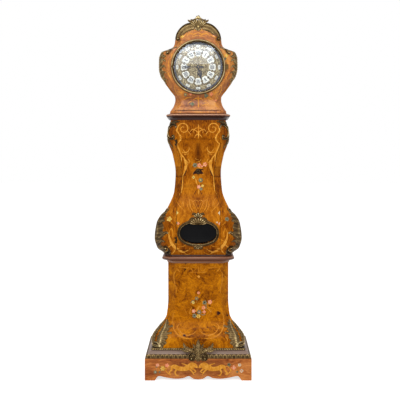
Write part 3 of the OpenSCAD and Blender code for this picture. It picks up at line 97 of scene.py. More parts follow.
def flowing(rows, k, z):
    """Column k of the rows at height z, on a curve through every row that never swings past one."""
    i = 0
    while i < len(rows) - 2 and z >= rows[i + 1][0]:
        i += 1
    h = rows[i + 1][0] - rows[i][0]
    t = min(max((z - rows[i][0]) / h, 0.0), 1.0)
    return ((2 * t**3 - 3 * t**2 + 1) * rows[i][k] + (t**3 - 2 * t**2 + t) * h * steepness(rows, k, i)
        + (3 * t**2 - 2 * t**3) * rows[i + 1][k] + (t**3 - t**2) * h * steepness(rows, k, i + 1))


def half_at(stage, z):
    return flowing(STAGE[stage], 1, z)


def front_at(stage, z):
    return BACK - flowing(STAGE[stage], 2, z)


def cant_at(stage, z):
    return min(CANT[stage], half_at(stage, z) * 0.6)


for stage, z in (("pedestal", PEDESTAL_FOOT), ("trunk", 849), ("trunk", 1256), ("hood", DIAL_Z)):
    print(stage, "at", z, "is", 2 * half_at(stage, z), "wide and", round(BACK - front_at(stage, z), 1),
        "deep")

# %% [markdown]
# A place on the case is given as seen from the front: x to the right and z up.
# Within the flat front it lies on the face, past the corner it lies on the canted strip, and past the outline
# it runs back along the side, so a bronze leaf can be drawn flat and still wrap round the corner.

# %% Places on the case
MITRE = math.tan(math.radians(22.5))
DIAGONAL, ROOT_TWO = 0.7071, 1.414


def on_case(stage, x, z, lift=0.0):
    half, front, cant = half_at(stage, z), front_at(stage, z), cant_at(stage, z)
    side, ax, edge = (1 if x >= 0 else -1), abs(x), half - cant
    if ax <= edge:
        grow = min(max((ax - edge + 6) / 6, 0), 1) * MITRE
        return Vector(((ax + lift * grow) * side, front - lift, z)) * MM
    if ax <= half:
        return Vector(((ax + lift * DIAGONAL) * side, front + ax - edge - lift * DIAGONAL, z)) * MM
    return Vector(((half + lift) * side, front + cant + ax - half, z)) * MM


print("beside the dial", [[round(v, 3) for v in on_case("hood", x, DIAL_Z)] for x in (190, 220, 240)])

# %% [markdown]
# Blender's operators work on whatever is selected and active, so a piece is picked out before each of them. A
# finished piece rides on one of the clock's bodies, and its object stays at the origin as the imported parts'
# do: a pattern on object coordinates then stays where it is when the piece moves.

# %% Small jobs that every piece needs
finishes = {}


def deselect():
    if bpy.context.object and bpy.context.object.mode == "EDIT":
        bpy.ops.object.mode_set(mode="OBJECT")
    bpy.ops.object.select_all(action="DESELECT")


def active(obj):
    deselect()
    obj.select_set(True)
    bpy.context.view_layer.objects.active = obj
    return obj


def settle(obj, angle=32):
    """Smooth shading with crisp edges, and the object back at the origin with its place in its mesh."""
    active(obj)
    bpy.ops.object.transform_apply(location=True, rotation=True, scale=True)
    bpy.ops.object.shade_smooth_by_angle(angle=math.radians(angle))
    return obj


def fit(obj, body, slot, finish, *nodes):
    """The piece rides with a body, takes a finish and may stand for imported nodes."""
    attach(obj, body)
    if nodes:
        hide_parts(*nodes)
    obj.data.materials.clear()
    obj.data.materials.append(finishes[finish])
    return obj


def mesh_piece(name, verts, faces):
    mesh = bpy.data.meshes.new(name)
    mesh.from_pydata([tuple(v) for v in verts], [], faces)
    mesh.validate()
    obj = bpy.data.objects.new(name, mesh)
    bpy.context.collection.objects.link(obj)
    return obj


def outward(obj):
    """Closes seams and poles, and turns every face to the outside."""
    bm = bmesh.new()
    bm.from_mesh(obj.data)
    bmesh.ops.remove_doubles(bm, verts=bm.verts, dist=1e-6)
    bmesh.ops.recalc_face_normals(bm, faces=bm.faces)
    bm.to_mesh(obj.data)
    bm.free()
    return obj


# %% [markdown]
# Shader nodes are easier to read as sums than as a web of boxes.
# The small class below wraps a node's socket, so that adding or multiplying two of them adds the Math nodes.
# One method makes any other node from its type, its settings and the values or links of its sockets.

# %% Sums on sockets
class Field:
    """A value that changes over a surface: one output socket of a node."""
    def __init__(self, nodes, socket):
        self.nodes, self.socket = nodes, socket

    def __add__(self, other):
        return self.nodes.maths("ADD", self, other)

    def __sub__(self, other):
        return self.nodes.maths("SUBTRACT", self, other)

    def __rsub__(self, other):
        return self.nodes.maths("SUBTRACT", other, self)

    def __mul__(self, other):
        return self.nodes.maths("MULTIPLY", self, other)

    def __truediv__(self, other):
        return self.nodes.maths("DIVIDE", self, other)

    def __rtruediv__(self, other):
        return self.nodes.maths("DIVIDE", other, self)

    __radd__ = __add__


class Nodes:
    """The node tree of a finish, of the floor's paint or of the world."""
    def __init__(self, tree):
        self.tree = tree

    def node(self, kind, settings=None, sockets=None, out=0):
        made = self.tree.nodes.new(kind)
        for key, value in (settings or {}).items():
            if key == "stops":
                while len(made.color_ramp.elements) < len(value):
                    made.color_ramp.elements.new(0.5)
                for stop, (place, colour) in zip(made.color_ramp.elements, value):
                    stop.position, stop.color = place, (*colour, 1)
            else:
                setattr(made, key, value)
        for key, value in (sockets or {}).items():
            if isinstance(value, Field):
                self.link(value, made.inputs[key])
            else:
                made.inputs[key].default_value = value
        return Field(self, made.outputs[out])

    def link(self, value, socket):
        self.tree.links.new(value.socket, socket)

    def maths(self, kind, a, b=0.0):
        return self.node("ShaderNodeMath", {"operation": kind}, {0: a, 1: b})

    def vector(self, kind, *values):
        return self.node("ShaderNodeVectorMath", {"operation": kind}, dict(enumerate(values)))


# %% [markdown]
# The clock was photographed from a little above its keyhole, almost level. The camera here looks down by a
# degree and a half, and a small lens shift does the rest, so that its sides stay upright.

# %% Camera
CAMERA_HEIGHT, CAMERA_AWAY, CAMERA_TILT = 1.32, 3.675, 0.0262
bpy.context.scene.view_settings.view_transform = "Standard"
deselect()
bpy.ops.object.camera_add(location=(0.0036, -CAMERA_AWAY, CAMERA_HEIGHT),
    rotation=(math.pi / 2 - CAMERA_TILT, 0, 0))
camera = bpy.context.object
camera.data.sensor_width = 36
camera.data.lens = 52.4
camera.data.shift_x = 0.003
camera.data.shift_y = -0.0562
camera.data.clip_end = 60
bpy.context.scene.camera = camera
print("camera", CAMERA_HEIGHT, "m high and", CAMERA_AWAY, "m away, looking down by",
    round(math.degrees(CAMERA_TILT), 1), "degrees")

# %% [markdown]
# A large softbox on the left is the key light, a weaker one on the right fills the shadows, and one overhead
# lights the tops. Two cool cards of light, high in front, lay the pale sheen of a window on glass, polish and
# bronze. They are kept out of the diffuse light, so that they wash nothing out.

# %% Lamps
def lamp(name, place, aim, wide, tall, power):
    """A softbox that looks at the height "aim" on the clock."""
    deselect()
    bpy.ops.object.light_add(type="AREA", location=place)
    light = bpy.context.object
    light.name = name
    light.data.shape = "RECTANGLE"
    light.data.size, light.data.size_y, light.data.energy = wide, tall, power
    light.rotation_euler = (Vector((0, 0, aim)) - Vector(place)).to_track_quat("-Z", "Y").to_euler()
    return light


lamp("key_softbox", (-2.4, -3.6, 3.6), 1.1, 1.6, 2.2, 56)
lamp("fill_softbox", (2.8, -3.0, 2.2), 1.1, 1.4, 2.0, 26)
lamp("top_softbox", (0.0, -1.5, 4.3), 1.2, 2.4, 1.6, 48)
for name, height, tall, power in (("glass_card", 3.6, 1.5, 46), ("glass_card_high", 4.3, 0.7, 34)):
    card = lamp(name, (-0.3, -4.6, height), 1.9, 3.4, tall, power)
    card.visible_diffuse = False
    card.data.color = (0.84, 0.91, 1.0)

# %% [markdown]
# The clock stands on a white floor in white air. A ray from the camera, a reflection or a pane of glass finds
# both at full white, but what they throw on the clock is weaker, so that the woods keep their colour.

# %% White air and floor
def seen(studio):
    """1 for a ray that somebody sees, and 0 for one that only carries light."""
    camera_ray, mirrored, through_glass = [studio.node("ShaderNodeLightPath", out=kind)
        for kind in ("Is Camera Ray", "Is Glossy Ray", "Is Transmission Ray")]
    return studio.maths("MAXIMUM", studio.maths("MAXIMUM", camera_ray, mirrored), through_glass)


world = bpy.data.worlds.new("studio")
bpy.context.scene.world = world
world.use_nodes = True
air, background = Nodes(world.node_tree), world.node_tree.nodes["Background"]
background.inputs["Color"].default_value = (1, 1, 1, 1)
air.link(0.5 + seen(air) * 0.5, background.inputs["Strength"])

paint = bpy.data.materials.new("studio_floor_white")
paint.use_nodes = True
white, paint_nodes = Nodes(paint.node_tree), paint.node_tree.nodes
paint_nodes.remove(paint_nodes["Principled BSDF"])
matt = white.node("ShaderNodeBsdfDiffuse", {}, {"Color": (0.8, 0.8, 0.8, 1)})
glow = white.node("ShaderNodeEmission", {}, {"Strength": seen(white) * 0.7})
white.link(white.node("ShaderNodeAddShader", {}, {0: matt, 1: glow}),
    paint_nodes["Material Output"].inputs["Surface"])

deselect()
bpy.ops.mesh.primitive_plane_add(size=40, location=(0, 12, 0))
floor = bpy.context.object
floor.name = "studio_floor"
floor.data.materials.append(paint)
print("floor", floor.dimensions[0], "m square")

# %% [markdown]
# A finish is one material with a Principled shader. Its methods are the few patterns that wood, metal and
# enamel need: clouds of noise, cells, a ramp of colours, a soft step and a bump.

# %% A finish and its patterns
class Finish(Nodes):
    def __init__(self, name, roughness=0.4, metallic=0.0, coat=0.0, **fixed):
        material = bpy.data.materials.new(name)
        material.use_nodes = True
        super().__init__(material.node_tree)
        self.shader = self.tree.nodes["Principled BSDF"]
        self.shader.inputs["Roughness"].default_value = roughness
        self.shader.inputs["Metallic"].default_value = metallic
        self.shader.inputs["Coat Weight"].default_value = coat
        for key, value in fixed.items():
            self.shader.inputs[key.replace("_", " ")].default_value = value
        finishes[name] = material

    def place(self, scale=(1, 1, 1)):
        where = self.node("ShaderNodeTexCoord", out="Object")
        return self.node("ShaderNodeMapping", {}, {"Vector": where, "Scale": scale})

    def rise(self):
        """How high a point of a cast or carved piece stands, from 0 in a hollow to 1 on a ridge. On the
        wooden mouldings it also carries painted highlight and painted shade.
        """
        return self.node("ShaderNodeAttribute", {"attribute_name": "rise"}, out="Fac")

    def noise(self, where, scale, detail=4.0, rough=0.5, warp=0.0, out="Fac"):
        return self.node("ShaderNodeTexNoise", {}, {"Vector": where, "Scale": scale, "Detail": detail,
            "Roughness": rough, "Distortion": warp}, out)

    def cells(self, where, scale):
        return self.node("ShaderNodeTexVoronoi", {}, {"Vector": where, "Scale": scale}, "Distance")

    def ramp(self, value, *stops):
        return self.node("ShaderNodeValToRGB", {"stops": stops}, {"Fac": value})

    def step(self, value, low, high):
        return self.node("ShaderNodeMapRange", {"interpolation_type": "SMOOTHSTEP"},
            {"Value": value, "From Min": low, "From Max": high})

    def mix(self, factor, a, b):
        return self.node("ShaderNodeMix", {"data_type": "RGBA"}, {0: factor, 6: a, 7: b}, 2)

    def feed(self, name, value):
        self.link(value, self.shader.inputs[name])

    def colour(self, value):
        self.feed("Base Color", value)

    def bump(self, height, distance, strength=1.0):
        self.feed("Normal", self.node("ShaderNodeBump", {}, {"Height": height, "Distance": distance,
            "Strength": strength}))


def tint(r, g, b):
    """A colour as read on a screen, 0 to 255, turned into the light that a shader works in."""
    def light(v):
        v = v / 255
        return v / 12.92 if v <= 0.04045 else ((v + 0.055) / 1.055) ** 2.4
    return (light(r), light(g), light(b))


def deeper(colour, share):
    return (*[c * share for c in colour], 1)


print("honey-coloured wood as light", [round(c, 3) for c in tint(206, 126, 22)])

# %% [markdown]
# Burr veneer has no straight grain: swirling light and dark clouds, small dark eyes with rings round them,
# and short glints of fibre. French polish lies over it as a clear coat, so the colour is deep and the
# highlights are sharp. The trunk's sheets are cut from one block and opened like a book, so their figure is
# mirrored about the middle.

# %% Veneers
def burr(name, light, mid, dark, eyes=1.0, grain=(1, 1, 1), gloss=0.06, swirl=1.0, spread=0.11, sheets=None):
    f = Finish(name, roughness=0.34, coat=gloss * 0.6, Coat_Roughness=0.12, Specular_IOR_Level=gloss)
    where = f.place(scale=grain)
    if sheets == "trunk":
        where = f.vector("MULTIPLY_ADD", f.vector("ABSOLUTE", where), (1.6, 1, 0.62), (0, 0, 0))
    sway = f.noise(where, 5.0 * swirl, 3, 0.55, 0.0, "Color")
    swirled = f.vector("MULTIPLY_ADD", sway, (0.16, 0.16, 0.16), where)
    clouds = f.noise(swirled, 9.0 * swirl, 7, 0.62, 0.6)
    fibres = f.noise(swirled, 46.0, 6, 0.75, 1.4)
    wood = f.ramp(clouds * 0.5 + fibres * 0.5, (0.5 - spread, dark), (0.5, mid), (0.5 + spread, light))
    speck = f.step(f.noise(where, 8.0, 2, 0.5), 0.47, 0.60)
    eye = (1 - f.step(f.cells(swirled, 17.0), 0.06, 0.2)) * speck * eyes
    wood = f.mix(eye * 0.75, wood, deeper(dark, 0.3))
    pores = f.step(f.noise(where, 340.0, 2, 0.6), 0.60, 0.74)
    wood = f.mix(pores * 0.30, wood, deeper(dark, 0.5))
    if sheets:
        wood = f.mix(shade_of(f, sheets), wood, deeper(dark, 0.55))
    f.colour(wood)
    f.feed("Roughness", 0.30 + fibres * 0.12)
    f.bump(fibres * 0.4 + eye * 0.3, 0.0002, 0.35)


def bell(value, middle, width):
    """1 at the middle, falling to 0 about two widths away."""
    off = (value - middle) / width
    return 1 / (1 + off * off * off * off)


def shade_of(f, sheets):
    """Where the cabinet-maker's sheets are darker, in metres on the case."""
    spot = f.node("ShaderNodeTexCoord", out="Object")
    x, z = [f.node("ShaderNodeSeparateXYZ", {}, {0: spot}, axis) for axis in ("X", "Z")]
    aside = f.maths("ABSOLUTE", x)
    ragged = f.noise(f.place(scale=(1, 1, 0.3)), 60.0, 3, 0.6)
    if sheets == "trunk":
        # the joint of the two sheets above the keyhole, a patch with dark edges beside it, a band below it
        seam = bell(x, 0.0, 0.011) * f.step(z, 1.28, 1.34) * (1 - f.step(z, 1.40, 1.47)) * 0.7
        patch = f.step(aside, 0.098, 0.102) * f.step(z, 1.227, 1.231) * (1 - f.step(z, 1.288, 1.292))
        edge = f.step(aside, 0.098, 0.102) * (bell(z, 1.229, 0.0022) + bell(z, 1.291, 0.0018))
        band = bell(z, 1.172, 0.009) * 0.3
        return (seam + patch * 0.35 + edge * 0.6 + band) * (0.4 + ragged * 1.1)
    # the plinth's ground behind the beasts
    ground = f.step(0.185 - aside, 0.0, 0.05) * f.step(z, 0.02, 0.05) * (1 - f.step(z, 0.112, 0.126))
    return ground * (0.2 + ragged * 0.8) * 0.75


for name, gloss in (("hood_veneer", 0.28), ("hood_side_veneer", 0.0)):
    burr(name, tint(216, 146, 54), tint(184, 106, 24), tint(118, 58, 10), 0.8, gloss=gloss)
burr("trunk_veneer", tint(206, 126, 22), tint(162, 88, 5), tint(98, 42, 1), 0.6, gloss=0.035, spread=0.105,
    sheets="trunk")
burr("pedestal_veneer", tint(216, 136, 12), tint(178, 101, 3), tint(106, 50, 1), 1.4, gloss=0.035, swirl=1.5,
    spread=0.1)
burr("plinth_veneer", tint(222, 146, 76), tint(190, 110, 52), tint(126, 60, 28), 0.35, (0.3, 1.0, 1.0),
    sheets="plinth")
print("veneers", list(finishes))

# %% [markdown]
# The mouldings are straight-grained wood. Their colour runs from dark to pale with each row's "rise": the
# rounds are pale from wear and carry a painted highlight on their upper side, and painted shade darkens the
# fillets and hollows that lie in shadow.

# %% Plain woods
def plain_wood(name, light, dark, grain=(1, 1, 0.06), coat=0.3, rubbed=None):
    f = Finish(name, roughness=0.38, coat=coat, Coat_Roughness=0.12, Specular_IOR_Level=0.2)
    where = f.place(scale=grain)
    lines = f.noise(where, 60.0, 6, 0.6, 0.8)
    broad = f.noise(where, 12.0, 3, 0.5, 0.5)
    if rubbed:
        # on the wooden mouldings the rise carries painted highlight and painted shade as well as wear, and
        # the grain is laid over it
        paleness = f.rise() * 0.62 + lines * 0.25 + broad * 0.2
        f.colour(f.ramp(paleness, (0.22, dark), (0.5, light), (0.84, rubbed)))
    else:
        f.colour(f.ramp(lines * 0.6 + broad * 0.45, (0.34, dark), (0.66, light)))
    f.feed("Roughness", 0.32 + lines * 0.16)
    f.bump(lines, 0.0003, 0.4)


# the third colour is the palest, reached on the rounds' wear and in their painted highlight
plain_wood("moulding_wood", tint(112, 66, 44), tint(50, 22, 12), (0.08, 0.6, 1), 0.1, tint(198, 150, 116))
# a paler, greyer wood for the plinth's cove, with an even rise all over it
plain_wood("worn_wood", tint(126, 100, 86), tint(78, 54, 42), (0.08, 0.6, 1), 0.1, tint(176, 154, 140))
plain_wood("carcase_wood", tint(120, 82, 54), tint(74, 46, 30), (1, 1, 0.08), 0.0)
print("plain woods", list(finishes)[-3:])

# %% [markdown]
# The mounts are cast, chased and gilded bronze that has gone brown in its hollows while the high places are
# rubbed bright. Pieces made here carry a "rise" value on each point, 0 in a hollow and 1 on a ridge, and the
# finish reads it. The hinges and the keyhole's plate have no such value, so they are given one rise all over.

# %% Bronze
def antique_bronze(name, hollow, body, ridge, rubbed, rough=0.42, rise=None):
    f = Finish(name, roughness=rough, metallic=0.9)
    where = f.place()
    stain = f.noise(where, 38.0, 5, 0.6)
    chased = f.noise(where, 210.0, 3, 0.6)
    high = f.rise() if rise is None else rise
    paleness = stain * 0.5 + chased * 0.2 + high * 0.8 - 0.27
    f.colour(f.ramp(paleness, (0.1, hollow), (0.36, body), (0.64, ridge), (0.92, rubbed)))
    f.feed("Roughness", 0.56 - paleness * 0.26 + chased * 0.1)
    f.bump(stain * 0.5 + chased * 0.5, 0.0005, 0.5)


for name, hollow, body, ridge, rubbed, *detail in [
    ("antique_bronze", (26, 17, 8), (74, 55, 30), (122, 97, 58), (212, 192, 142)),
    ("rubbed_bronze", (38, 26, 14), (100, 79, 47), (160, 134, 88), (240, 224, 172), 0.36),
    ("bezel_brass", (24, 17, 10), (66, 50, 30), (112, 90, 58), (190, 168, 120), 0.34),
    ("dark_bronze", (22, 14, 8), (50, 36, 20), (84, 64, 38), (140, 114, 72), 0.45, 0.3),
    ("plain_bronze", (40, 28, 14), (84, 64, 34), (128, 104, 62), (190, 168, 116), 0.42, 0.4)]:
    antique_bronze(name, tint(*hollow), tint(*body), tint(*ridge), tint(*rubbed), *detail)
print("bronzes", list(finishes)[-5:])

# %% [markdown]
# Wheels and arbors are turned and polished, with a haze of old handling and fine scratches. The dial's ground
# is worked all over with a punch, so its finish is a field of small cells with brighter ridges.

# %% Polished and punched metal
def polished(name, light, dark, rough):
    f = Finish(name, roughness=rough, metallic=1.0)
    haze = f.noise(f.place(), 30.0, 4, 0.6)
    scratch = f.noise(f.place(scale=(1, 1, 0.05)), 420.0, 2, 0.5)
    f.colour(f.ramp(haze, (0.35, dark), (0.65, light)))
    f.feed("Roughness", rough + haze * 0.12 + scratch * 0.06)
    f.bump(scratch * 0.5 + haze * 0.5, 0.0001, 0.3)


polished("movement_brass", tint(226, 196, 120), tint(190, 152, 78), 0.18)
polished("blued_steel", tint(52, 56, 72), tint(26, 28, 38), 0.25)
polished("bright_steel", tint(176, 178, 182), tint(120, 122, 126), 0.25)

worked = Finish("worked_brass", roughness=0.42, metallic=0.9)
ground = worked.noise(worked.place(), 260.0, 3, 0.6)
punched = worked.cells(worked.place(), 420.0)
fleck = worked.noise(worked.place(), 130.0, 2, 0.6)
tone = worked.rise() * 0.6 + ground * 0.3 + punched * 0.15 + fleck * 0.9 - 0.38
worked.colour(worked.ramp(tone, (0.2, tint(44, 36, 24)), (0.5, tint(116, 98, 68)),
    (0.88, tint(214, 198, 156))))
worked.feed("Roughness", 0.5 - worked.rise() * 0.15 + ground * 0.1)
worked.bump(ground * 0.5 + punched * 0.5, 0.0003, 0.5)
print("metals", list(finishes)[-4:])

# %% [markdown]
# Enamel is glass fused to copper: one colour that drifts a little, with a soft shine of its own. The gut line
# and the window's pane are made the same way; the pane's near-black is painted shade, a dark sheet standing
# for the unlit inside of the trunk behind the glass. Only the dial's glass is clear, and a faint wave in it
# bends its edges.

# %% Enamel, gut and glass
def flat_finish(name, colour, rough, spread=0.04, scale=40.0, coat=0.0, dent=0.0001, **fixed):
    f = Finish(name, roughness=rough, coat=coat, **fixed)
    drift = f.noise(f.place(), scale, 4, 0.55)
    darker, lighter = [max(c - spread, 0) for c in colour], [min(c + spread, 1) for c in colour]
    f.colour(f.ramp(drift, (0.3, darker), (0.7, lighter)))
    f.feed("Roughness", rough + drift * 0.05)
    f.bump(drift, dent, 0.3)


flat_finish("white_enamel", tint(238, 236, 228), 0.16, 0.02, 30.0, 0.5)
flat_finish("blue_enamel", tint(30, 34, 62), 0.22, 0.006, 50.0, 0.4)
flat_finish("figure_blue", tint(26, 30, 66), 0.3, 0.004)
# painted shade: the window's pane is a nearly black sheet in place of clear glass, standing for the dark
# inside of the trunk
flat_finish("window_painted_shade", tint(8, 8, 10), 0.12, 0.001, 12.0, 0.0, Specular_IOR_Level=0.1)
flat_finish("gut_line", tint(150, 128, 88), 0.6, 0.03, 900.0, 0.0, 0.0004)
clear = Finish("clear_glass", roughness=0.02, Transmission_Weight=1.0, IOR=1.45)
clear.shader.inputs["Base Color"].default_value = (0.97, 0.985, 0.98, 1)
clear.bump(clear.noise(clear.place(), 6.0, 2, 0.5), 0.0002, 0.1)
print("enamel, gut and glass", list(finishes)[-6:])

# %% [markdown]
# The woods of the marquetry are sycamore and box stained golden, pink, yellow and grey-green, and ebonised
# pear. Each is a quiet veneer with a little figure of its own, so a leaf never looks painted.

# %% Marquetry woods
def inlay_wood(name, light, dark):
    f = Finish(name, roughness=0.34, coat=0.04, Coat_Roughness=0.12, Specular_IOR_Level=0.08)
    figure = f.noise(f.place(scale=(1, 1, 0.5)), 70.0, 5, 0.65, 0.8)
    f.colour(f.ramp(figure, (0.36, dark), (0.62, light)))
    f.feed("Roughness", 0.3 + figure * 0.1)
    f.bump(figure, 0.0001, 0.3)


for wood, light, dark in [("golden", (240, 172, 66), (208, 128, 26)),
    ("faint", (222, 146, 36), (188, 110, 12)),
    ("pink", (246, 172, 132), (226, 116, 70)), ("green", (140, 138, 108), (88, 92, 66)),
    ("yellow", (238, 206, 108), (212, 160, 50)), ("cream", (236, 216, 186), (200, 176, 140)),
    ("dark", (66, 30, 16), (26, 10, 6))]:
    inlay_wood(wood + "_inlay", tint(*light), tint(*dark))
print("marquetry woods", list(finishes)[-7:])

# %% [markdown]
# A bombé case is built from boards that are sawn and planed to the curve, then veneered. Modelling it is much
# the same: a flat board is drawn as a grid, given its thickness by an extrusion, and then every point is
# moved to its place on the curve. The same board-bending helper serves for panels, mouldings and mounts.

# %% A board that is bent to its place
def steps(low, high, pitch):
    count = max(1, round(abs(high - low) / pitch))
    return [low + (high - low) * i / count for i in range(count + 1)]


def bent_board(name, across, up, place, closed=False):
    """A grid with thickness; place(across, up, depth) gives each point, with depth 0 in front and 1 behind.
    It may also give the point's "rise", from 0 in a hollow to 1 on a ridge, which the bronze finish reads.
    A closed board meets itself, so the two end walls that would lie inside it are taken away."""
    columns, rows = len(across) - 1, len(up) - 1
    deselect()
    bpy.ops.mesh.primitive_grid_add(x_subdivisions=columns, y_subdivisions=rows, size=1)
    board = bpy.context.object
    board.name = name
    bpy.ops.object.mode_set(mode="EDIT")
    bpy.ops.mesh.select_all(action="SELECT")
    bpy.ops.mesh.extrude_region_move(TRANSFORM_OT_translate={"value": (0, 0, 1)})
    bpy.ops.object.mode_set(mode="OBJECT")
    if closed:
        ends = [p.index for p in board.data.polygons
            if all(abs(abs(board.data.vertices[v].co.x) - 0.5) < 1e-4 for v in p.vertices)]
        bm = bmesh.new()
        bm.from_mesh(board.data)
        bm.faces.ensure_lookup_table()
        bmesh.ops.delete(bm, geom=[bm.faces[i] for i in ends], context="FACES_ONLY")
        bm.to_mesh(board.data)
        bm.free()
    rises = [0.5] * len(board.data.vertices)
    for v in board.data.vertices:
        i, j = round((v.co.x + 0.5) * columns), round((v.co.y + 0.5) * rows)
        spot = place(across[i], up[j], round(v.co.z))
        if isinstance(spot, tuple):
            spot, rises[v.index] = spot
        v.co = spot
    board.data.attributes.new("rise", "FLOAT", "POINT").data.foreach_set("value", rises)
    return outward(board)


def join(name, *parts):
    deselect()
    for part in parts:
        part.select_set(True)
    bpy.context.view_layer.objects.active = parts[0]
    if len(parts) > 1:
        bpy.ops.object.join()
    parts[0].name = name
    return parts[0]


# %% [markdown]
# The front board of a stage also takes the two canted corners, and its ends are mitred to the side boards.
# Seen in plan it is a bent strip 16 mm thick, so its inner face turns a little earlier than its outer face.

# %% Front boards
BOARD = 16.0


def front_board(name, stage, up, start=None):
    """Whole width when start is None; otherwise the right jamb from x = start(z) outwards."""
    def place(u, z, depth):
        half, front, cant = half_at(stage, z), front_at(stage, z), cant_at(stage, z)
        turn = half - cant - depth * BOARD * MITRE
        x0 = start(z) if start else 0.0
        corner, end = max(x0, turn), half - depth * BOARD
        r = abs(u)
        x = x0 + (corner - x0) * r if r <= 1 else corner + (end - corner) * (r - 1)
        y = front + depth * BOARD + max(0.0, x - turn)
        return Vector((-x if u < 0 else x, y, z)) * MM
    across = steps(0, 1, 0.05 if start is None else 0.2) + steps(1, 2, 0.25)[1:]
    if start is None:
        across = [-u for u in reversed(across[1:])] + across
    return bent_board(name, across, up, place)


pedestal_levels = steps(PEDESTAL_FOOT, PEDESTAL_TOP, 4)
pedestal_front = front_board("pedestal_front_veneered", "pedestal", pedestal_levels)
fit(settle(pedestal_front), "case", "figured_wood", "pedestal_veneer", "pedestal_front")
print("pedestal front", [round(v, 3) for v in pedestal_front.dimensions])

# %% [markdown]
# A side board runs from the cant to the back. The pedestal's two draw in towards the back, because from the
# front nothing shows behind its flared corners.

# %% Side boards
def back_half_at(stage, z):
    if stage != "pedestal" or z > FLARE_TOP:
        return half_at(stage, z)
    down = 1 - (z - PEDESTAL_FOOT) / (FLARE_TOP - PEDESTAL_FOOT)
    return min(half_at(stage, z), 189 + 75 * down ** 3.2)


def side_board(name, stage, up, side):
    def place(u, z, depth):
        half, front, cant = half_at(stage, z), front_at(stage, z), cant_at(stage, z)
        y0 = front + cant + depth * BOARD * MITRE
        y = y0 + (BACK - BOARD - y0) * u
        behind = min(max((y - front - cant - 40) / 150, 0), 1)
        drawn_in = (half - back_half_at(stage, z)) * (3 - 2 * behind) * behind * behind
        return Vector((side * (half - drawn_in - depth * BOARD), y, z)) * MM
    return bent_board(name, steps(0, 1, 0.05), up, place)


for stage, levels, finish in (("pedestal", pedestal_levels, "pedestal_veneer"),
        ("trunk", steps(TRUNK_FOOT, TRUNK_TOP, 4), "trunk_veneer"),
        ("hood", steps(HOOD_FOOT, HOOD_SHOULDER, 4), "hood_side_veneer")):
    name = stage + "_sides_veneered"
    sides = settle(join(name, side_board(name, stage, levels, -1),
        side_board("right_side", stage, levels, 1)))
    fit(sides, "case", "figured_wood", finish, stage + "_sides")
    print(stage, "sides", [round(v, 3) for v in sides.dimensions])

# %% [markdown]
# The back is plain boarding between the sides, in unpolished wood. It is narrower where it passes the
# mouldings.

# %% Back boards
def back_edge(z):
    if z < PEDESTAL_FOOT:
        return 262.0
    stage = "pedestal" if z <= PEDESTAL_TOP else "trunk" if z <= TRUNK_TOP else "hood"
    if PEDESTAL_TOP < z < TRUNK_FOOT:
        return 173.0 + 18.0 * (z - PEDESTAL_TOP) / (TRUNK_FOOT - PEDESTAL_TOP)
    if TRUNK_TOP < z < HOOD_FOOT:
        return 156.0
    return back_half_at(stage, z) - BOARD


def back_place(u, z, depth):
    return Vector((u * (back_edge(z) - 0.4), BACK - BOARD * (1 - depth) + 0.3 * (1 - depth), z)) * MM


back_levels = steps(133, 186.9, 18) + steps(187.5, 2150, 8)
back_boarding = settle(bent_board("back_boarding", steps(-1, 1, 0.25), back_levels, back_place))
fit(back_boarding, "case", "dark_wood", "carcase_wood", "back_boards")
print("back boards", [round(v, 3) for v in back_boarding.dimensions])

# %% [markdown]
# The trunk's front is a frame round the door. The door is as wide as the flat of the front wherever the trunk
# is narrow, so there the frame is only the canted corner, and at the bulge it widens into proper stiles.

# %% Frame round the door
DOOR_FOOT, DOOR_TOP, DOOR_HALF, GAP = 782.0, 1462.0, 134.0, 2.0


def door_edge(z):
    return min(DOOR_HALF, half_at("trunk", z) - CANT["trunk"])


frame_parts = [front_board("trunk_front_veneered", "trunk", steps(TRUNK_FOOT, DOOR_FOOT - GAP, 4)),
    front_board("trunk_head", "trunk", steps(DOOR_TOP + GAP, TRUNK_TOP, 4))]
jamb_levels = steps(DOOR_FOOT - GAP, DOOR_TOP + GAP, 4)
right_jamb, left_jamb = [front_board(name, "trunk", jamb_levels, lambda z: door_edge(z) + GAP)
    for name in ("right_jamb", "left_jamb")]
for v in left_jamb.data.vertices:
    v.co.x = -v.co.x
outward(left_jamb)
door_frame = settle(join("trunk_front_veneered", *frame_parts, right_jamb, left_jamb))
fit(door_frame, "case", "figured_wood", "trunk_veneer", "trunk_front")
print("door frame", [round(v, 3) for v in door_frame.dimensions])

# %% [markdown]
# The door is a bent board too, with an oval hole for its window. Its closing edge is bevelled behind, so that
# it clears the frame as it swings. The hole is sawn with a Boolean modifier, whose cutter is a block with the
# oval's outline: a grid has no edge there that could be cut along.

# %% Door
WINDOW_Z, BEVEL, OVAL_POINTS = 884.0, 6, 60


def oval_point(a, grow=0.0):
    """The window's oval, 224 by 132 mm, a little fuller than an ellipse, at the angle a from its middle."""
    ca, sa = math.cos(a), math.sin(a)
    return (112 + grow) * math.copysign(abs(ca) ** 0.89, ca), (66 + grow) * math.copysign(abs(sa) ** 0.89, sa)


def door_place(u, z, depth):
    edge = door_edge(z)
    right = edge - BEVEL * depth
    return Vector((u * (right if u > 0 else edge), front_at("trunk", z) + depth * BOARD, z)) * MM


def cut_out(board, cutter):
    cut = board.modifiers.new("cut", "BOOLEAN")
    cut.operation, cut.object, cut.solver = "DIFFERENCE", cutter, "EXACT"
    active(board)
    bpy.ops.object.modifier_apply(modifier=cut.name)
    bpy.data.objects.remove(cutter)


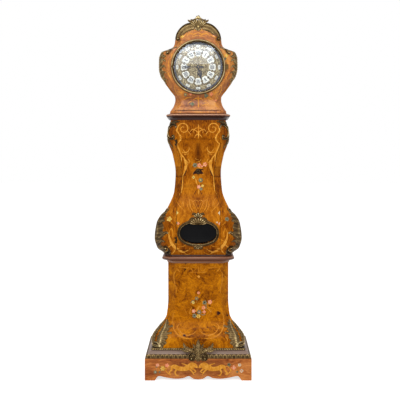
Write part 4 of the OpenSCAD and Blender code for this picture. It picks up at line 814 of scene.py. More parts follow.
door = bent_board("door_veneered", steps(-1, 1, 0.05), steps(DOOR_FOOT, DOOR_TOP, 4), door_place)
deselect()
outline = [oval_point(2 * math.pi * i / OVAL_POINTS) for i in range(OVAL_POINTS)]
ends = [tuple(range(OVAL_POINTS)), tuple(reversed(range(OVAL_POINTS, 2 * OVAL_POINTS)))]
walls = [(i, (i + 1) % OVAL_POINTS, OVAL_POINTS + (i + 1) % OVAL_POINTS, OVAL_POINTS + i)
    for i in range(OVAL_POINTS)]
cutter = mesh_piece("window_cutter",
    [(x * MM, y * MM, (WINDOW_Z + z) * MM) for y in (-180, 0) for x, z in outline], ends + walls)
cut_out(door, outward(cutter))
fit(settle(door), "door", "figured_wood", "trunk_veneer", "trunk_door")
print("door", [round(v, 3) for v in door.dimensions], "faces", len(door.data.polygons))

# %% [markdown]
# The hood's front carries the dial: a round hole is cut in it, and its arched top is the same board.

# %% Hood front
DIAL_HOLE = 156.0
hood_front = front_board("hood_front_veneered", "hood", steps(HOOD_FOOT, HOOD_TOP, 4))
deselect()
bpy.ops.mesh.primitive_cylinder_add(vertices=128, radius=DIAL_HOLE * MM, depth=0.2,
    location=(0, -0.08, DIAL_Z * MM), rotation=(math.pi / 2, 0, 0))
cut_out(hood_front, bpy.context.object)
fit(settle(hood_front), "case", "figured_wood", "hood_veneer", "hood_front")
print("hood front", [round(v, 3) for v in hood_front.dimensions])

# %% [markdown]
# The roof is one board, bent over the arch from shoulder to shoulder and run back to the boarding behind.

# %% Roof
ROOF = 12
roof_line = [(-half_at("hood", z), z) for z in steps(HOOD_SHOULDER, HOOD_TOP, 4)]
roof_line += [(x, 2155.0) for x in steps(-74, 74, 15)[1:-1]] + [(-x, z) for x, z in reversed(roof_line)]


def roof_place(i, along, depth):
    i = int(i)
    x, z = roof_line[i]
    x0, z0 = roof_line[max(i - 1, 0)]
    x1, z1 = roof_line[min(i + 1, len(roof_line) - 1)]
    run = Vector((x1 - x0, 0, z1 - z0)).normalized()
    half, cant = half_at("hood", z), cant_at("hood", z)
    turn = half - cant - BOARD * MITRE
    y0 = front_at("hood", HOOD_TOP) + (cant if abs(abs(x) - half) < 0.5 else BOARD + max(0, abs(x) - turn))
    inner = Vector((x, 0, z)) + Vector((run.z, 0, -run.x)) * ROOF * depth
    inner.z = max(inner.z, HOOD_SHOULDER)
    return Vector((inner.x, y0 + (BACK - BOARD - y0) * along, inner.z)) * MM


roof = bent_board("hood_roof_veneered", list(range(len(roof_line))), steps(0, 1, 0.1), roof_place)
fit(settle(roof), "case", "figured_wood", "hood_veneer", "hood_top")
print("roof", [round(v, 3) for v in roof.dimensions])

# %% [markdown]
# Mouldings are run in lengths and mitred at every corner. Each is a profile, a list of heights with the
# half-width and depth that it reaches there, and the bending helper carries it round the two sides, the cants
# and the front. Each row also has a "rise" for the finish, which sets how pale the wood is there: the rounds
# are pale from wear and carry a painted highlight on their upper side, the fillets and hollows tucked under
# the cornice's round and against the trunk carry painted shade, and the waist's hollow, which lies in shade,
# is painted lighter.

# %% Profiles
def hollow_curve(z0, z1, half0, half1, depth0, depth1, upright_first=True, rise=0.3):
    rows = []
    for i in range(13):
        a = math.pi / 2 * i / 12
        out = 1 - math.cos(a) if upright_first else math.sin(a)
        up = math.sin(a) if upright_first else 1 - math.cos(a)
        rows.append((z0 + (z1 - z0) * up, half0 + (half1 - half0) * out, depth0 + (depth1 - depth0) * out,
            rise))
    return rows


def round_curve(z0, z1, half, depth, bright=0.9):
    r = (z1 - z0) / 2
    rows = []
    for i in range(15):
        a = math.pi * i / 14
        # painted highlight: the rise peaks on the upper side of the round, where the light from above falls,
        # over an even paleness of wear; bright sets its strength
        rubbed = math.exp(-(((i / 14 - 0.64) / 0.13) ** 2))
        out = r * math.sin(a) - r
        rows.append((z0 + r - r * math.cos(a), half + out, depth + out, 0.3 + bright * rubbed))
    return rows


print("a hollow of", len(hollow_curve(0, 1, 0, 1, 0, 1)), "rows and a round of", len(round_curve(0, 1, 1, 1)))


# %% [markdown]
# Plain runs need a mesh column only where they turn. The two metal runs are carved, so theirs are a few
# millimetres apart, and a "carve" function says how far each point stands out: small arched leaves, or the
# twist of a rope.

# %% A moulding that runs round the case
def moulding(name, rows, cant, wall, pitch=None, carve=None):
    """wall is the inner half-width and inner depth, both to the outside of the case."""
    last = len(rows) - 1

    def place(u, j, depth):
        z, half, reach, rise = rows[int(j)]
        front, side, r = BACK - reach, (-1 if u < 0 else 1), abs(u)
        run = (min(r, 1) * (half - cant) + min(max(r - 1, 0), 1) * cant * ROOT_TWO
            + max(r - 2, 0) * (reach - cant))
        if depth:
            half, reach, corner = wall[0], wall[1], max(cant - 8, 1)
        else:
            corner = cant
            if carve:
                lift, rise = carve(run, j / last)
                half, reach = half + lift, reach + lift
        front = BACK - reach
        if r <= 1:
            return Vector((side * r * (half - corner), front, z)) * MM, rise
        if r <= 2:
            return Vector((side * (half - corner + corner * (r - 1)), front + corner * (r - 1), z)) * MM, rise
        return Vector((side * half, front + corner + (BACK - 0.4 - front - corner) * (r - 2), z)) * MM, rise
    fine = pitch / 340 if pitch else 0.5
    across = steps(0, 1, fine) + steps(1, 2, 0.5)[1:] + steps(2, 3, fine)[1:]
    across = [-u for u in reversed(across[1:])] + across
    return bent_board(name, across, list(range(len(rows))), place)


def arched_leaves(run, up):
    """Small leaves 27 mm apart, each an arch with a rib, with a bud between each two."""
    p = (run / 27 + 0.5) % 1 - 0.5
    arch = math.exp(-(((math.hypot(2.3 * p, up * 0.95) - 0.82) / 0.15) ** 2))
    rib = math.exp(-((p / 0.06) ** 2)) * (1 - up)
    bud = math.exp(-(((0.5 - abs(p)) / 0.07) ** 2 + ((up - 0.75) / 0.2) ** 2))
    raised = min(1.0, arch + 0.8 * rib + 0.8 * bud)
    return 1.4 * raised, 0.02 + 0.7 * raised


def rope(run, up):
    """A twisted cord of metal, 14 mm to a turn."""
    twist = 0.5 + 0.5 * math.cos(2 * math.pi * (run / 14 + up * 0.8))
    return 0.9 * twist, 0.08 + 0.7 * twist * math.sin(math.pi * up)


print("a leaf's rib stands", round(arched_leaves(0, 0)[0], 2), "mm proud")

# %% [markdown]
# From the foot up: brass leaves on the plinth's edge, a wooden cove and a brass bead above them, the waist's
# hollow and round, the cornice, and a ledge of veneer that the hood stands on.

# %% The six runs
LOW_WALL = (264, 339)
quarter = [(137 + 19 * math.sin(a), 311.6 + 8 * math.cos(a), 380.6 + 8 * math.cos(a), 0.5)
    for a in steps(0, math.pi / 2, 0.15)]
runs = {
    "cove_moulding": (hollow_curve(156, 174, 309, 294, 378, 369, False, 0.56), 1, LOW_WALL,
        "worn_wood", "dark_wood"),
    "bead_moulding": (round_curve(174, PEDESTAL_FOOT, 288, 363), 10, LOW_WALL,
        "rubbed_bronze", "gilt_bronze", 3.5, rope),
    "leaf_moulding": ([(132, 320, 388.6, 0)] + quarter, 1, LOW_WALL,
        "rubbed_bronze", "gilt_bronze", 3.0, arched_leaves),
    # painted light and shade on the waist: its hollow is painted lighter against the shade it lies in, its
    # round's painted highlight is kept low, and its top fillet is painted dark as the shadow where it meets
    # the trunk
    "waist_moulding": (hollow_curve(PEDESTAL_TOP, 711.8, 192, 212, 283, 302, True, 0.62)
        + round_curve(712.8, 739.9, 224, 314, 0.4)
        + [(740.9, 207, 297, 0.0), (TRUNK_FOOT, 208, 295, 0.0)], 44, (157, 248), "moulding_wood",
        "dark_wood"),
    # painted shade under the cornice: its bottom fillet and hollow are painted nearly as dark as the wood
    # goes, while its round carries the full painted highlight
    "cornice": ([(TRUNK_TOP, 173, 289, 0.0)] + hollow_curve(1584, 1600, 174, 194, 290, 308, True, 0.02)
        + round_curve(1601, 1616, 198, 312) + [(1622, 177, 295, 0.15)], 44, (140, 256),
        "moulding_wood", "dark_wood"),
    "hood_ledge": ([(1622, 175, 293, 0.5), (1624, 175, 293, 0.5), (1634, 174, 292, 0.5),
        (HOOD_FOOT, 173, 291, 0.5)], 40, (140, 255), "hood_veneer", "dark_wood"),
}
for name, (rows, cant, wall, finish, slot, *detail) in runs.items():
    run = settle(moulding(name + "_run", rows, cant, wall, *detail), 40)
    fit(run, "case", slot, finish, name)
    print(name, [round(v, 3) for v in run.dimensions])

# %% [markdown]
# The mounts are lost-wax castings, chased by hand: scrolling straps with rolled rims, acanthus leaves with
# veins and ragged lobes, and shells. All three are one idea, a strip that follows a line and whose height
# changes across it, so one helper sweeps the strip and a small "section" function says how high it is and how
# far it spreads.

# %% Places to lay a mount
PROUD = 0.4


def facing(y, lean_from=9999.0, lean=0.0):
    """A flat face at the depth y, which leans back above the height lean_from."""
    return lambda x, z, lift: Vector((x, y - lift + max(0.0, z - lean_from) * lean, z)) * MM


def on_stage(stage):
    return lambda x, z, lift: on_case(stage, x, z, lift)


def round_corner(stage):
    """x counts from the corner of the flat front round the cant and along the side."""
    def place(u, z, lift):
        half, front, cant = half_at(stage, z), front_at(stage, z), cant_at(stage, z)
        edge, run = half - cant, cant * math.sqrt(2)
        if u < 0:
            x, y = edge + u, front
        elif u < run:
            x, y = edge + u * DIAGONAL, front + u * DIAGONAL
        else:
            x, y = half, front + cant + u - run
        turn = math.radians(45) * (min(max((u + 5) / 10, 0), 1) + min(max((u - run + 5) / 10, 0), 1))
        return Vector((x + lift * math.sin(turn), y - lift * math.cos(turn), z)) * MM
    return place


trunk_corner, hood_corner, pedestal_corner = [round_corner(stage) for stage in ("trunk", "hood", "pedestal")]
print("on the cant of the trunk's bulge", [round(v, 3) for v in trunk_corner(31, 849, 0)])

# %% [markdown]
# A strap's line is given by a few points of (x, z, width), and a smooth curve is laid through them.

# %% A strip along a line
def smooth_path(points, pitch=3.0):
    rows = [Vector(p) for p in points]
    path = []
    for i in range(len(rows) - 1):
        a, b, c, d = rows[max(i - 1, 0)], rows[i], rows[i + 1], rows[min(i + 2, len(rows) - 1)]
        count = max(2, round((c - b).xy.length / pitch))
        for k in range(count):
            t = k / count
            bend, swing = 2 * a - 5 * b + 4 * c - d, 3 * b - a - 3 * c + d
            path.append(0.5 * (2 * b + (c - a) * t + bend * t**2 + swing * t**3))
    return path + [rows[-1]]


def strap(name, points, section, place, back=0.3, cells=12, pitch=3.0):
    path = smooth_path(points, pitch)
    last = len(path) - 1

    def put(v, j, depth):
        j = int(j)
        ahead = path[min(j + 1, last)] - path[max(j - 1, 0)]
        across = Vector((-ahead.y, ahead.x)).normalized()
        lift, rise, spread = section(v, j / last)
        reach = v * spread * path[j].z / 2
        return place(path[j].x + across.x * reach, path[j].y + across.y * reach,
            back if depth else lift), rise
    return bent_board(name, steps(-1, 1, 2 / cells), list(range(last + 1)), put)


print("points on a curve through three", len(smooth_path([(0, 0, 4), (20, 10, 8), (40, 0, 4)])))

# %% [markdown]
# A section says how high the strip stands at v across it, from -1 to 1, and at t along it, from 0 to 1. It
# gives the height, the rise that the bronze finish reads, and the share of the width that the strip keeps
# there.

# %% Sections of a casting
def fade(v, power=8):
    return math.sqrt(max(0.0, 1 - abs(v) ** power))


def rolled(height, bright=0.85):
    """C-scroll: two bright rolled rims with a dark hollow between them."""
    def section(v, t):
        rim = math.exp(-(((abs(v) - 0.72) / 0.2) ** 2))
        ends = min(1, 8 * t + 0.35, 8 * (1 - t) + 0.35)
        return PROUD + height * fade(v) * (0.35 + 0.65 * rim) * ends, 0.1 + bright * rim, 1.0
    return section


def leafy(height, lobes, ragged=0.3, one_side=False):
    """Acanthus: a bright midrib, veins that run out to the lobes, and a ragged edge."""
    def section(v, t):
        lobe = abs(math.sin(math.pi * lobes * (t + 0.0001))) ** 0.6
        vein = 0.5 + 0.5 * math.cos(2 * math.pi * (lobes * t * 2 - abs(v) * 1.1))
        rib = math.exp(-((v / 0.16) ** 2))
        crown = fade(v, 4) * (0.3 + 0.7 * math.sin(math.pi * min(max(t, 0.04), 0.96)) ** 0.5)
        spread = 1 - ragged * (1 - lobe) * (1 if not one_side or v < 0 else 0)
        return (PROUD + height * crown * (0.4 + 0.25 * vein + 0.35 * rib),
            0.12 + 0.4 * vein + 0.45 * rib, spread)
    return section


print("height of a leaf's rib", round(leafy(6, 3)(0, 0.5)[0], 2), "mm, of a scroll's rim",
    round(rolled(8)(0.72, 0.5)[0], 2), "mm")

# %% [markdown]
# Scrolls end in a curl round a boss, and palmettes and shells fan out from a point. Most mounts come in
# pairs, so one side is drawn and a mirrored copy of it serves for the other.

# %% Curls, bosses and shells
def curl(x, z, r, start, turns, wide, hand=1):
    count = max(8, round(turns * 18))
    points = []
    for i in range(count + 1):
        k = i / count
        a, reach = math.radians(start + hand * 360 * turns * k), r * (1 - 0.76 * k)
        points.append((x + reach * math.cos(a), z + reach * math.sin(a), wide * (1 - 0.55 * k)))
    return points


def boss(name, x, z, r, height, place, petals=0):
    def put(a, k, depth):
        edge = 1 + (0.14 * math.cos(petals * a) if petals else 0)
        groove = (0.3 * math.cos(petals * a) * k) if petals else 0
        lift = PROUD + height * math.sqrt(max(0, 1 - k * k)) * (1 + groove)
        reach = r * k * edge
        return place(x + reach * math.cos(a), z + reach * math.sin(a),
            0.3 if depth else lift), 0.95 - 0.7 * k * k
    return bent_board(name, steps(0, 2 * math.pi, math.pi / 10), steps(0, 1, 0.2), put, closed=True)


def shell(name, x, z, inner, outer, start, end, ribs, height, place, squeeze=1.0):
    """Palmette or shell: ribs that fan out from a point, with a scalloped edge."""
    def put(a, k, depth):
        phase = (a - start) / (end - start) * ribs * math.pi
        ridge = abs(math.sin(phase))
        reach = inner + (outer - inner) * k * (0.84 + 0.16 * ridge)
        angle = math.radians(a)
        lift = PROUD + height * (0.45 + 0.55 * ridge) * (1 - 0.75 * k**6) * (0.6 + 0.4 * k)
        px, pz = x + reach * math.cos(angle) * squeeze, z + reach * math.sin(angle)
        return place(px, pz, 0.3 if depth else lift), 0.08 + 0.85 * ridge * (0.5 + 0.5 * k)
    return bent_board(name, steps(start, end, (end - start) / (ribs * 8)), steps(0, 1, 0.1), put)


def both_hands(name, parts):
    """The parts as drawn for one side, and a mirrored copy of them for the other."""
    one = join(name, *parts)
    deselect()
    other = one.copy()
    other.data = one.data.copy()
    bpy.context.collection.objects.link(other)
    for v in other.data.vertices:
        v.co.x = -v.co.x
    outward(other)
    return join(name, one, other)


def cast(name, finish, node, body, *parts):
    """All the parts of one mount as one casting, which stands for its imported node."""
    casting = fit(settle(join(name, *parts)), body, "gilt_bronze", finish, node)
    print(name, "faces", len(casting.data.polygons), "size", [round(v, 3) for v in casting.dimensions])


print("a curl of one turn has", len(curl(0, 0, 19, 250, 1, 13)), "points")


# %% [markdown]
# A leaf mount on a corner is one casting bent round it. Its two edges are listed by height, as distances
# round the corner, and its ragged lobes point inwards to the veneer while a smooth spine runs up the outer
# side.

# %% Leaves round the corners of trunk and hood
def corner_leaf(name, rows, lobes, height, place):
    foot, top = rows[0][0], rows[-1][0]

    def put(v, z, depth):
        t = (z - foot) / (top - foot)
        within = (lobes * (t + 0.03 * math.sin(15 * t)) + 0.5 * v) % 1 - 0.5
        lobe = max(0.0, math.cos(math.pi * within)) ** 0.6
        spine = math.exp(-(((v - 0.6 - 0.06 * math.sin(11 * t)) / 0.1) ** 2))
        veins = 0.5 + 0.5 * math.cos(6 * math.pi * within * (1 - 0.35 * v))
        inner_edge, outer_edge = flowing(rows, 1, z), flowing(rows, 2, z)
        inner_edge += 15 * (1 - lobe) * (1 - v)
        body = min(1, 0.15 + math.sin(math.pi * min(max(v, 0.0), 1)) ** 0.4)
        lift = 0.5 + height * body * (0.26 + 0.36 * lobe * (1 - 0.7 * v) + 0.3 * spine + 0.14 * veins * lobe)
        rise = 0.03 + 0.34 * lobe * (1 - 0.5 * v) + 0.3 * spine + 0.3 * veins * lobe
        return place(inner_edge + (outer_edge - inner_edge) * v, z, 0.3 if depth else lift), rise
    return bent_board(name, steps(0, 1, 1 / 16), steps(foot, top, 2.5), put)


BULGE_LEAF = [(756, 24, 66), (770, 10, 74), (790, 8, 84), (806, 20, 90), (826, 24, 92), (856, 14, 95),
    (872, 4, 95), (888, -6, 95), (900, 0, 95), (914, 3, 92), (972, 23, 86), (1012, 40, 78), (1032, 50, 70)]
bulge = [
    corner_leaf("bulge_leaf", BULGE_LEAF, 9, 7.0, trunk_corner),
    strap("bulge_volute", [(60, 758, 18), (30, 757, 20), (4, 764, 20)] + curl(0, 790, 19, 250, 1.1, 13, -1),
        rolled(8), trunk_corner),
    boss("bulge_eye", 0, 790, 6, 7, trunk_corner),
    strap("bulge_side_leaf", [(44, 850, 30), (24, 862, 30), (2, 878, 26), (-16, 890, 16), (-26, 886, 6)],
        leafy(7, 3), trunk_corner),
    boss("bulge_leaf_tip", -24, 886, 5.5, 5, trunk_corner),
    strap("bulge_upper_leaf", [(50, 944, 24), (34, 958, 22), (20, 962, 14), (10, 954, 5)], leafy(6, 3),
        trunk_corner),
    strap("bulge_lower_leaf", [(40, 822, 22), (20, 836, 22), (2, 838, 14), (-10, 830, 5)], leafy(6, 3),
        trunk_corner),
    strap("bulge_rim", [(84, 1010, 5), (90, 960, 9), (93, 900, 10), (93, 850, 10), (86, 800, 10),
        (72, 764, 6)], rolled(13, 0.4), trunk_corner, cells=8),
    strap("bulge_top_sprig", [(60, 990, 24), (50, 1012, 18), (44, 1028, 12), (52, 1040, 5)], leafy(6, 2),
        trunk_corner),
]
cast("bulge_mounts_cast", "antique_bronze", "bulge_mounts", "case", both_hands("bulge_pair", bulge))

WING_LEAF = [(1806, 50, 62), (1823, 44, 68), (1846, 34, 76), (1870, 28, 82), (1902, 36, 84), (1935, 30, 84),
    (1958, 32, 82), (1975, 34, 78), (1992, 36, 74), (2008, 40, 68), (2022, 46, 60)]
wings = [
    corner_leaf("wing_leaf", WING_LEAF, 7, 7.0, hood_corner),
    strap("wing_volute", [(58, 2010, 16), (34, 2016, 18), (8, 2012, 16)] + curl(0, 1994, 15, 70, 1.1, 11, 1),
        rolled(7.5), hood_corner),
    boss("wing_eye", 0, 1994, 5, 6, hood_corner),
    strap("wing_top_leaf", [(44, 2018, 10), (30, 2026, 14), (14, 2026, 12), (2, 2020, 4)], leafy(7, 3),
        hood_corner),
    strap("wing_inner_leaf", [(46, 1990, 12), (32, 1976, 18), (18, 1970, 14), (4, 1974, 5)], leafy(6, 3),
        hood_corner),
    strap("wing_side_leaf", [(50, 1944, 18), (34, 1954, 18), (18, 1950, 14), (6, 1938, 5)], leafy(6, 3),
        hood_corner),
    strap("wing_mid_leaf", [(50, 1902, 18), (34, 1914, 18), (18, 1912, 12), (8, 1900, 5)], leafy(6, 3),
        hood_corner),
    strap("wing_low_leaf", [(52, 1862, 18), (36, 1874, 18), (20, 1876, 12), (8, 1866, 5)], leafy(6, 3),
        hood_corner),
    strap("wing_foot_leaf", [(60, 1826, 12), (46, 1834, 13), (34, 1832, 10), (26, 1824, 4)], leafy(5, 2),
        hood_corner),
    strap("wing_rim", [(62, 1812, 8), (72, 1840, 16), (78, 1870, 20), (80, 1902, 20), (78, 1935, 20),
        (76, 1965, 18), (70, 1994, 16), (58, 2014, 8)], leafy(11, 7, 0.4), hood_corner, cells=10),
]
cast("hood_wings_cast", "rubbed_bronze", "hood_wings", "case", both_hands("wing_pair", wings))

# %% [markdown]
# Under the cornice each corner has an open C-scroll with the veneer showing through it, a leaf above that
# points to the middle of the case and a tapering leaf below.

# %% Scrolls under the cornice
shoulder = [
    strap("shoulder_scroll", [(-2, 1536, 7), (10, 1550, 13), (34, 1553, 17), (56, 1540, 19), (68, 1514, 20),
        (62, 1486, 19), (44, 1468, 16)] + curl(18, 1478, 14, 250, 0.8, 12, -1), rolled(8), trunk_corner),
    boss("shoulder_eye", 16, 1478, 5, 6, trunk_corner),
    boss("shoulder_upper_eye", 0, 1537, 5, 5, trunk_corner),
    strap("shoulder_top_leaf", [(70, 1552, 16), (44, 1566, 20), (14, 1569, 18), (-18, 1570, 5)], leafy(6, 3),
        trunk_corner),
    strap("shoulder_tail", [(74, 1520, 14), (72, 1492, 30), (66, 1464, 30), (54, 1438, 22), (42, 1416, 6)],
        leafy(7, 4), trunk_corner),
    strap("shoulder_bud", [(42, 1424, 10), (38, 1414, 12), (42, 1406, 5)], leafy(5, 1), trunk_corner),
    strap("shoulder_side_leaf", [(74, 1570, 12), (82, 1545, 20), (80, 1515, 18), (76, 1490, 8)], leafy(5, 3),
        trunk_corner),
]
cast("shoulder_mounts_cast", "antique_bronze", "shoulder_mounts", "case",
    both_hands("shoulder_pair", shoulder))

# %% [markdown]
# At the pedestal's flared corners two long serrated leaves lie either side of the cant, with a strip of
# veneer left between them, and both grow out of a scrolled foot on the moulding.

# %% Leaves at the pedestal's foot
COVE_TOP = 188


def foot_block(u, z, lift):
    """Stands forward of the cant, over the cove."""
    return pedestal_corner(u, max(z, COVE_TOP), lift) + Vector((0, 0, min(z - COVE_TOP, 0))) * MM


pedestal_parts = [
    strap("foot_front_leaf", [(50, 338, 5), (36, 318, 34), (22, 294, 58), (12, 268, 72), (2, 240, 80),
        (4, 214, 76), (16, 196, 56)], leafy(9, 8, 0.4), pedestal_corner, cells=20),
    strap("foot_outer_leaf", [(64, 330, 6), (68, 312, 26), (74, 284, 40), (76, 254, 48), (76, 224, 50),
        (72, 198, 44)], leafy(19, 7, 0.3), pedestal_corner, cells=16),
    strap("foot_front_barb", [(0, 300, 12), (-14, 308, 13), (-24, 304, 5)], leafy(6, 2), pedestal_corner),
    strap("foot_mid_barb", [(-14, 262, 14), (-34, 272, 14), (-46, 266, 5)], leafy(6, 2), pedestal_corner),
    strap("foot_roll", [(-4, 199, 14), (16, 204, 22), (36, 206, 24), (56, 204, 22), (74, 199, 14)], rolled(8),
        pedestal_corner),
    strap("foot_scroll", [(6, 190, 10), (20, 187, 14), (34, 186, 14), (50, 187, 14), (64, 190, 10)],
        rolled(11), foot_block),
    boss("foot_boss_front", 2, 200, 8, 9, pedestal_corner),
    boss("foot_boss_side", 66, 200, 8, 9, pedestal_corner),
]
cast("pedestal_mounts_cast", "rubbed_bronze", "pedestal_mounts", "case",
    both_hands("foot_pair", pedestal_parts))

# %% [markdown]
# The cresting follows the hood's arch: two leaf-lined scrolls that end in volutes, and a shell with a bud
# between them. It is fixed flat to the hood's face and its shell stands free above the roof.

# %% Cresting
crest_face = facing(-82.4)
crest_path = [(16, 2152, 20), (34, 2158, 26), (58, 2157, 29), (84, 2146, 30), (106, 2128, 28),
    (122, 2106, 24), (131, 2088, 17)]
crest_edge = [(x + 0.22 * w * math.cos(a), z + 0.4 * w * math.sin(a), 9)
    for (x, z, w), a in zip(crest_path, (1.6, 1.6, 1.45, 1.15, 0.85, 0.5, 0.2))]
crest_half = [
    strap("crest_band", crest_path, leafy(6, 9, 0.16, True), crest_face),
    strap("crest_rim", crest_edge + [(136, 2082, 9)] + curl(124, 2078, 13, 0, 1.2, 9, -1), rolled(10),
        crest_face, cells=8),
    boss("crest_eye", 124, 2078, 5.5, 10, crest_face),
    strap("crest_inner_leaf", [(26, 2142, 20), (54, 2136, 26), (78, 2124, 24), (96, 2108, 16),
        (106, 2096, 5)], leafy(6, 5, 0.4), crest_face),
    strap("crest_shell_leaf", [(20, 2168, 16), (38, 2180, 18), (52, 2184, 16), (64, 2192, 6)], leafy(9, 3),
        crest_face),
    strap("crest_shell_lip", [(8, 2196, 12), (22, 2194, 14), (36, 2190, 12), (46, 2196, 6)], leafy(10, 2),
        crest_face),
    boss("crest_bead", 11, 2203, 7, 8, crest_face),
]
cast("hood_crest_cast", "rubbed_bronze", "hood_crest", "case", both_hands("crest_pair", crest_half),
    shell("crest_shell", 0, 2134, 6, 64, 36, 144, 9, 12, crest_face),
    shell("crest_drop", 0, 2156, 4, 30, 215, 325, 5, 9, crest_face),
    boss("crest_bud", 0, 2207, 13, 11, crest_face, 5),
    boss("crest_heart", 0, 2150, 11, 11, crest_face, 5))

# %% [markdown]
# The window's frame is an oval strap of two mouldings with a shell on top and a hanging leaf below.

# %% Window frame
def double_moulding(v, t):
    outer, inner = math.exp(-(((v - 0.5) / 0.3) ** 2)), math.exp(-(((v + 0.55) / 0.26) ** 2))
    twist = 0.5 + 0.5 * math.cos(2 * math.pi * (90 * t + v))
    height = PROUD + fade(v) * (2.0 + 5.5 * outer + 4.0 * inner + 0.5 * twist * outer)
    return height, 0.12 + 0.6 * outer + 0.3 * inner + 0.2 * twist, 1.0


BAND_MIDDLE, BAND_WIDE = 8.0, 18.5
on_door = on_stage("trunk")
mid_line = [oval_point(math.radians(90 + 5 * i), BAND_MIDDLE) for i in range(73)]
window_band = strap("window_band", [(x, WINDOW_Z + z, BAND_WIDE) for x, z in mid_line], double_moulding,
    on_door, pitch=2.5)
right_half = [
    strap("window_top_scroll", [(14, 966, 12), (40, 964, 15), (66, 952, 13), (84, 938, 8)], leafy(8, 4),
        on_door),
    strap("window_crest_leaf", [(6, 980, 16), (20, 1000, 18), (32, 1004, 12), (38, 994, 4)], leafy(8, 3),
        on_door),
    strap("window_crest_curl", [(12, 966, 14), (32, 976, 15), (48, 972, 11), (54, 962, 4)], leafy(8, 3),
        on_door),
    strap("window_foot_scroll", [(8, 806, 14), (28, 810, 15), (46, 818, 10), (56, 828, 4)], leafy(8, 3),
        on_door),
    strap("window_foot_curl", [(4, 796, 10), (18, 788, 12), (26, 794, 7), (24, 802, 4)], leafy(7, 2),
        on_door),
]
cast("window_frame_cast", "antique_bronze", "window_frame", "door", window_band,
    both_hands("window_pair", right_half),
    shell("window_shell", 0, 934, 2, 44, 8, 172, 9, 10, on_door, 1.25),
    shell("window_crest", 0, 972, 2, 34, 28, 152, 5, 9, on_door),
    boss("window_crest_bud", 0, 1004, 8, 8, on_door),
    shell("window_foot", 0, 816, 2, 30, 200, 340, 5, 9, on_door),
    boss("window_drop", 0, 790, 7, 7, on_door))

# %% [markdown]
# The plinth's middle mount covers the joint of the mouldings: a palmette between two C-scrolls, with leaves
# that run out along the bead. Above the bead it leans back towards the pedestal.

# %% Plinth mount
plinth_face = facing(-187.4, COVE_TOP, 0.8)
half_mount = [
    strap("plinth_c_scroll",
        [(16, 176, 8), (34, 172, 13), (50, 158, 15), (54, 140, 13)] + curl(40, 136, 13, 10, 0.9, 11, -1),
        rolled(11), plinth_face),
    boss("plinth_eye", 40, 136, 5.5, 10, plinth_face),
    strap("plinth_wing", [(18, 168, 18), (40, 182, 22), (62, 190, 24), (80, 200, 20), (90, 222, 6)],
        leafy(11, 4), plinth_face),
    strap("plinth_wing_low", [(52, 180, 14), (74, 180, 18), (94, 186, 12), (104, 196, 5)], leafy(9, 3),
        plinth_face),
    strap("plinth_inner_leaf", [(6, 150, 14), (16, 180, 18), (24, 204, 14), (34, 216, 5)], leafy(12, 3),
        plinth_face),
    strap("plinth_foot_leaf", [(12, 150, 14), (20, 132, 14), (32, 120, 6)], leafy(10, 2), plinth_face),
]
cast("plinth_mount_cast", "rubbed_bronze", "plinth_mount", "case", both_hands("plinth_pair", half_mount),
    strap("plinth_palmette", [(0, 118, 24), (0, 150, 34), (0, 186, 40), (0, 216, 28), (0, 238, 6)],
        leafy(16, 6, 0.35), plinth_face, cells=18),
    shell("plinth_shell", 0, 118, 3, 30, 40, 140, 5, 12, plinth_face))

# %% [markdown]
# The dial is a brass plate, worked all over with the punch and the graver, that carries twelve enamel
# cartouches for the hours and twelve small ones for the minutes. Everything on it is laid out round the
# centre, so a place on it is an angle clockwise from twelve and a distance from the middle.

# %% Round places on the dial
DIAL_FACE, BEZEL_FACE = -66.0, -82.3


def on_dial(angle, r, lift, plane=DIAL_FACE, u=0.0, v=0.0):
    a = math.radians(angle)
    x, z = (r + v) * math.sin(a) + u * math.cos(a), (r + v) * math.cos(a) - u * math.sin(a)
    return Vector((x, plane - lift, DIAL_Z + z)) * MM


def disc(name, inner, outer, rings, turns, height, plane, back):
    """A flat ring or disc whose front is lifted by height(angle, r), which gives the lift and the rise."""
    def put(a, r, depth):
        lift, rise = height(a, r)
        return on_dial(a, r, back if depth else lift, plane), rise
    return bent_board(name, steps(0, 360, 360 / turns), steps(inner, outer, (outer - inner) / rings), put,
        closed=True)


print("three o'clock at the rim", [round(v, 4) for v in on_dial(90, 150, 0)])

# %% [markdown]
# Three brass and enamel grounds lie on one another: the engraved plate, the rosette in its middle and the
# blue rim. Each is turned as a flat ring, and its relief comes from a function of the angle and the distance
# from the middle.

# %% Plate, middle and rim
def engraved(a, r):
    """Scrolls between the cartouches, an open ring of beads inside them and a plain margin."""
    leaf = abs(math.sin(math.radians(6 * a))) ** 0.8 * math.sin(math.pi * min(max((r - 104) / 32, 0), 1))
    vein = 0.5 + 0.5 * math.cos(math.radians(36 * a) + r * 0.42)
    bead = (0.5 + 0.5 * math.cos(math.radians(60 * a))) * math.exp(-(((r - 64) / 2.2) ** 2))
    line = math.exp(-(((r - 138) / 1.2) ** 2)) + math.exp(-(((r - 67.5) / 0.8) ** 2))
    lift = 0.15 + 0.55 * leaf * vein + 0.8 * bead + 0.6 * line
    return lift, min(1, 0.25 + 0.5 * leaf * vein + 0.6 * bead + 0.5 * line)


def rosette(a, r):
    petal = abs(math.sin(math.radians(4 * a))) ** 0.7
    scroll = 0.5 + 0.5 * math.cos(math.radians(24 * a) + 0.5 * r * math.sin(math.radians(8 * a)))
    ring = math.exp(-(((r - 57.5) / 1.3) ** 2)) + math.exp(-(((r - 17) / 1.3) ** 2))
    band = math.sin(math.pi * min(max((r - 17) / 41, 0), 1))
    lift = 2.4 + 0.6 * band * scroll * petal + 0.5 * ring
    return lift, min(1, 0.2 + 0.65 * band * scroll * (0.3 + 0.7 * petal) + 0.5 * ring)


def blue_band(a, r):
    return 1.6 + 0.4 * math.exp(-(((r - 150) / 2.0) ** 2)), 0.5


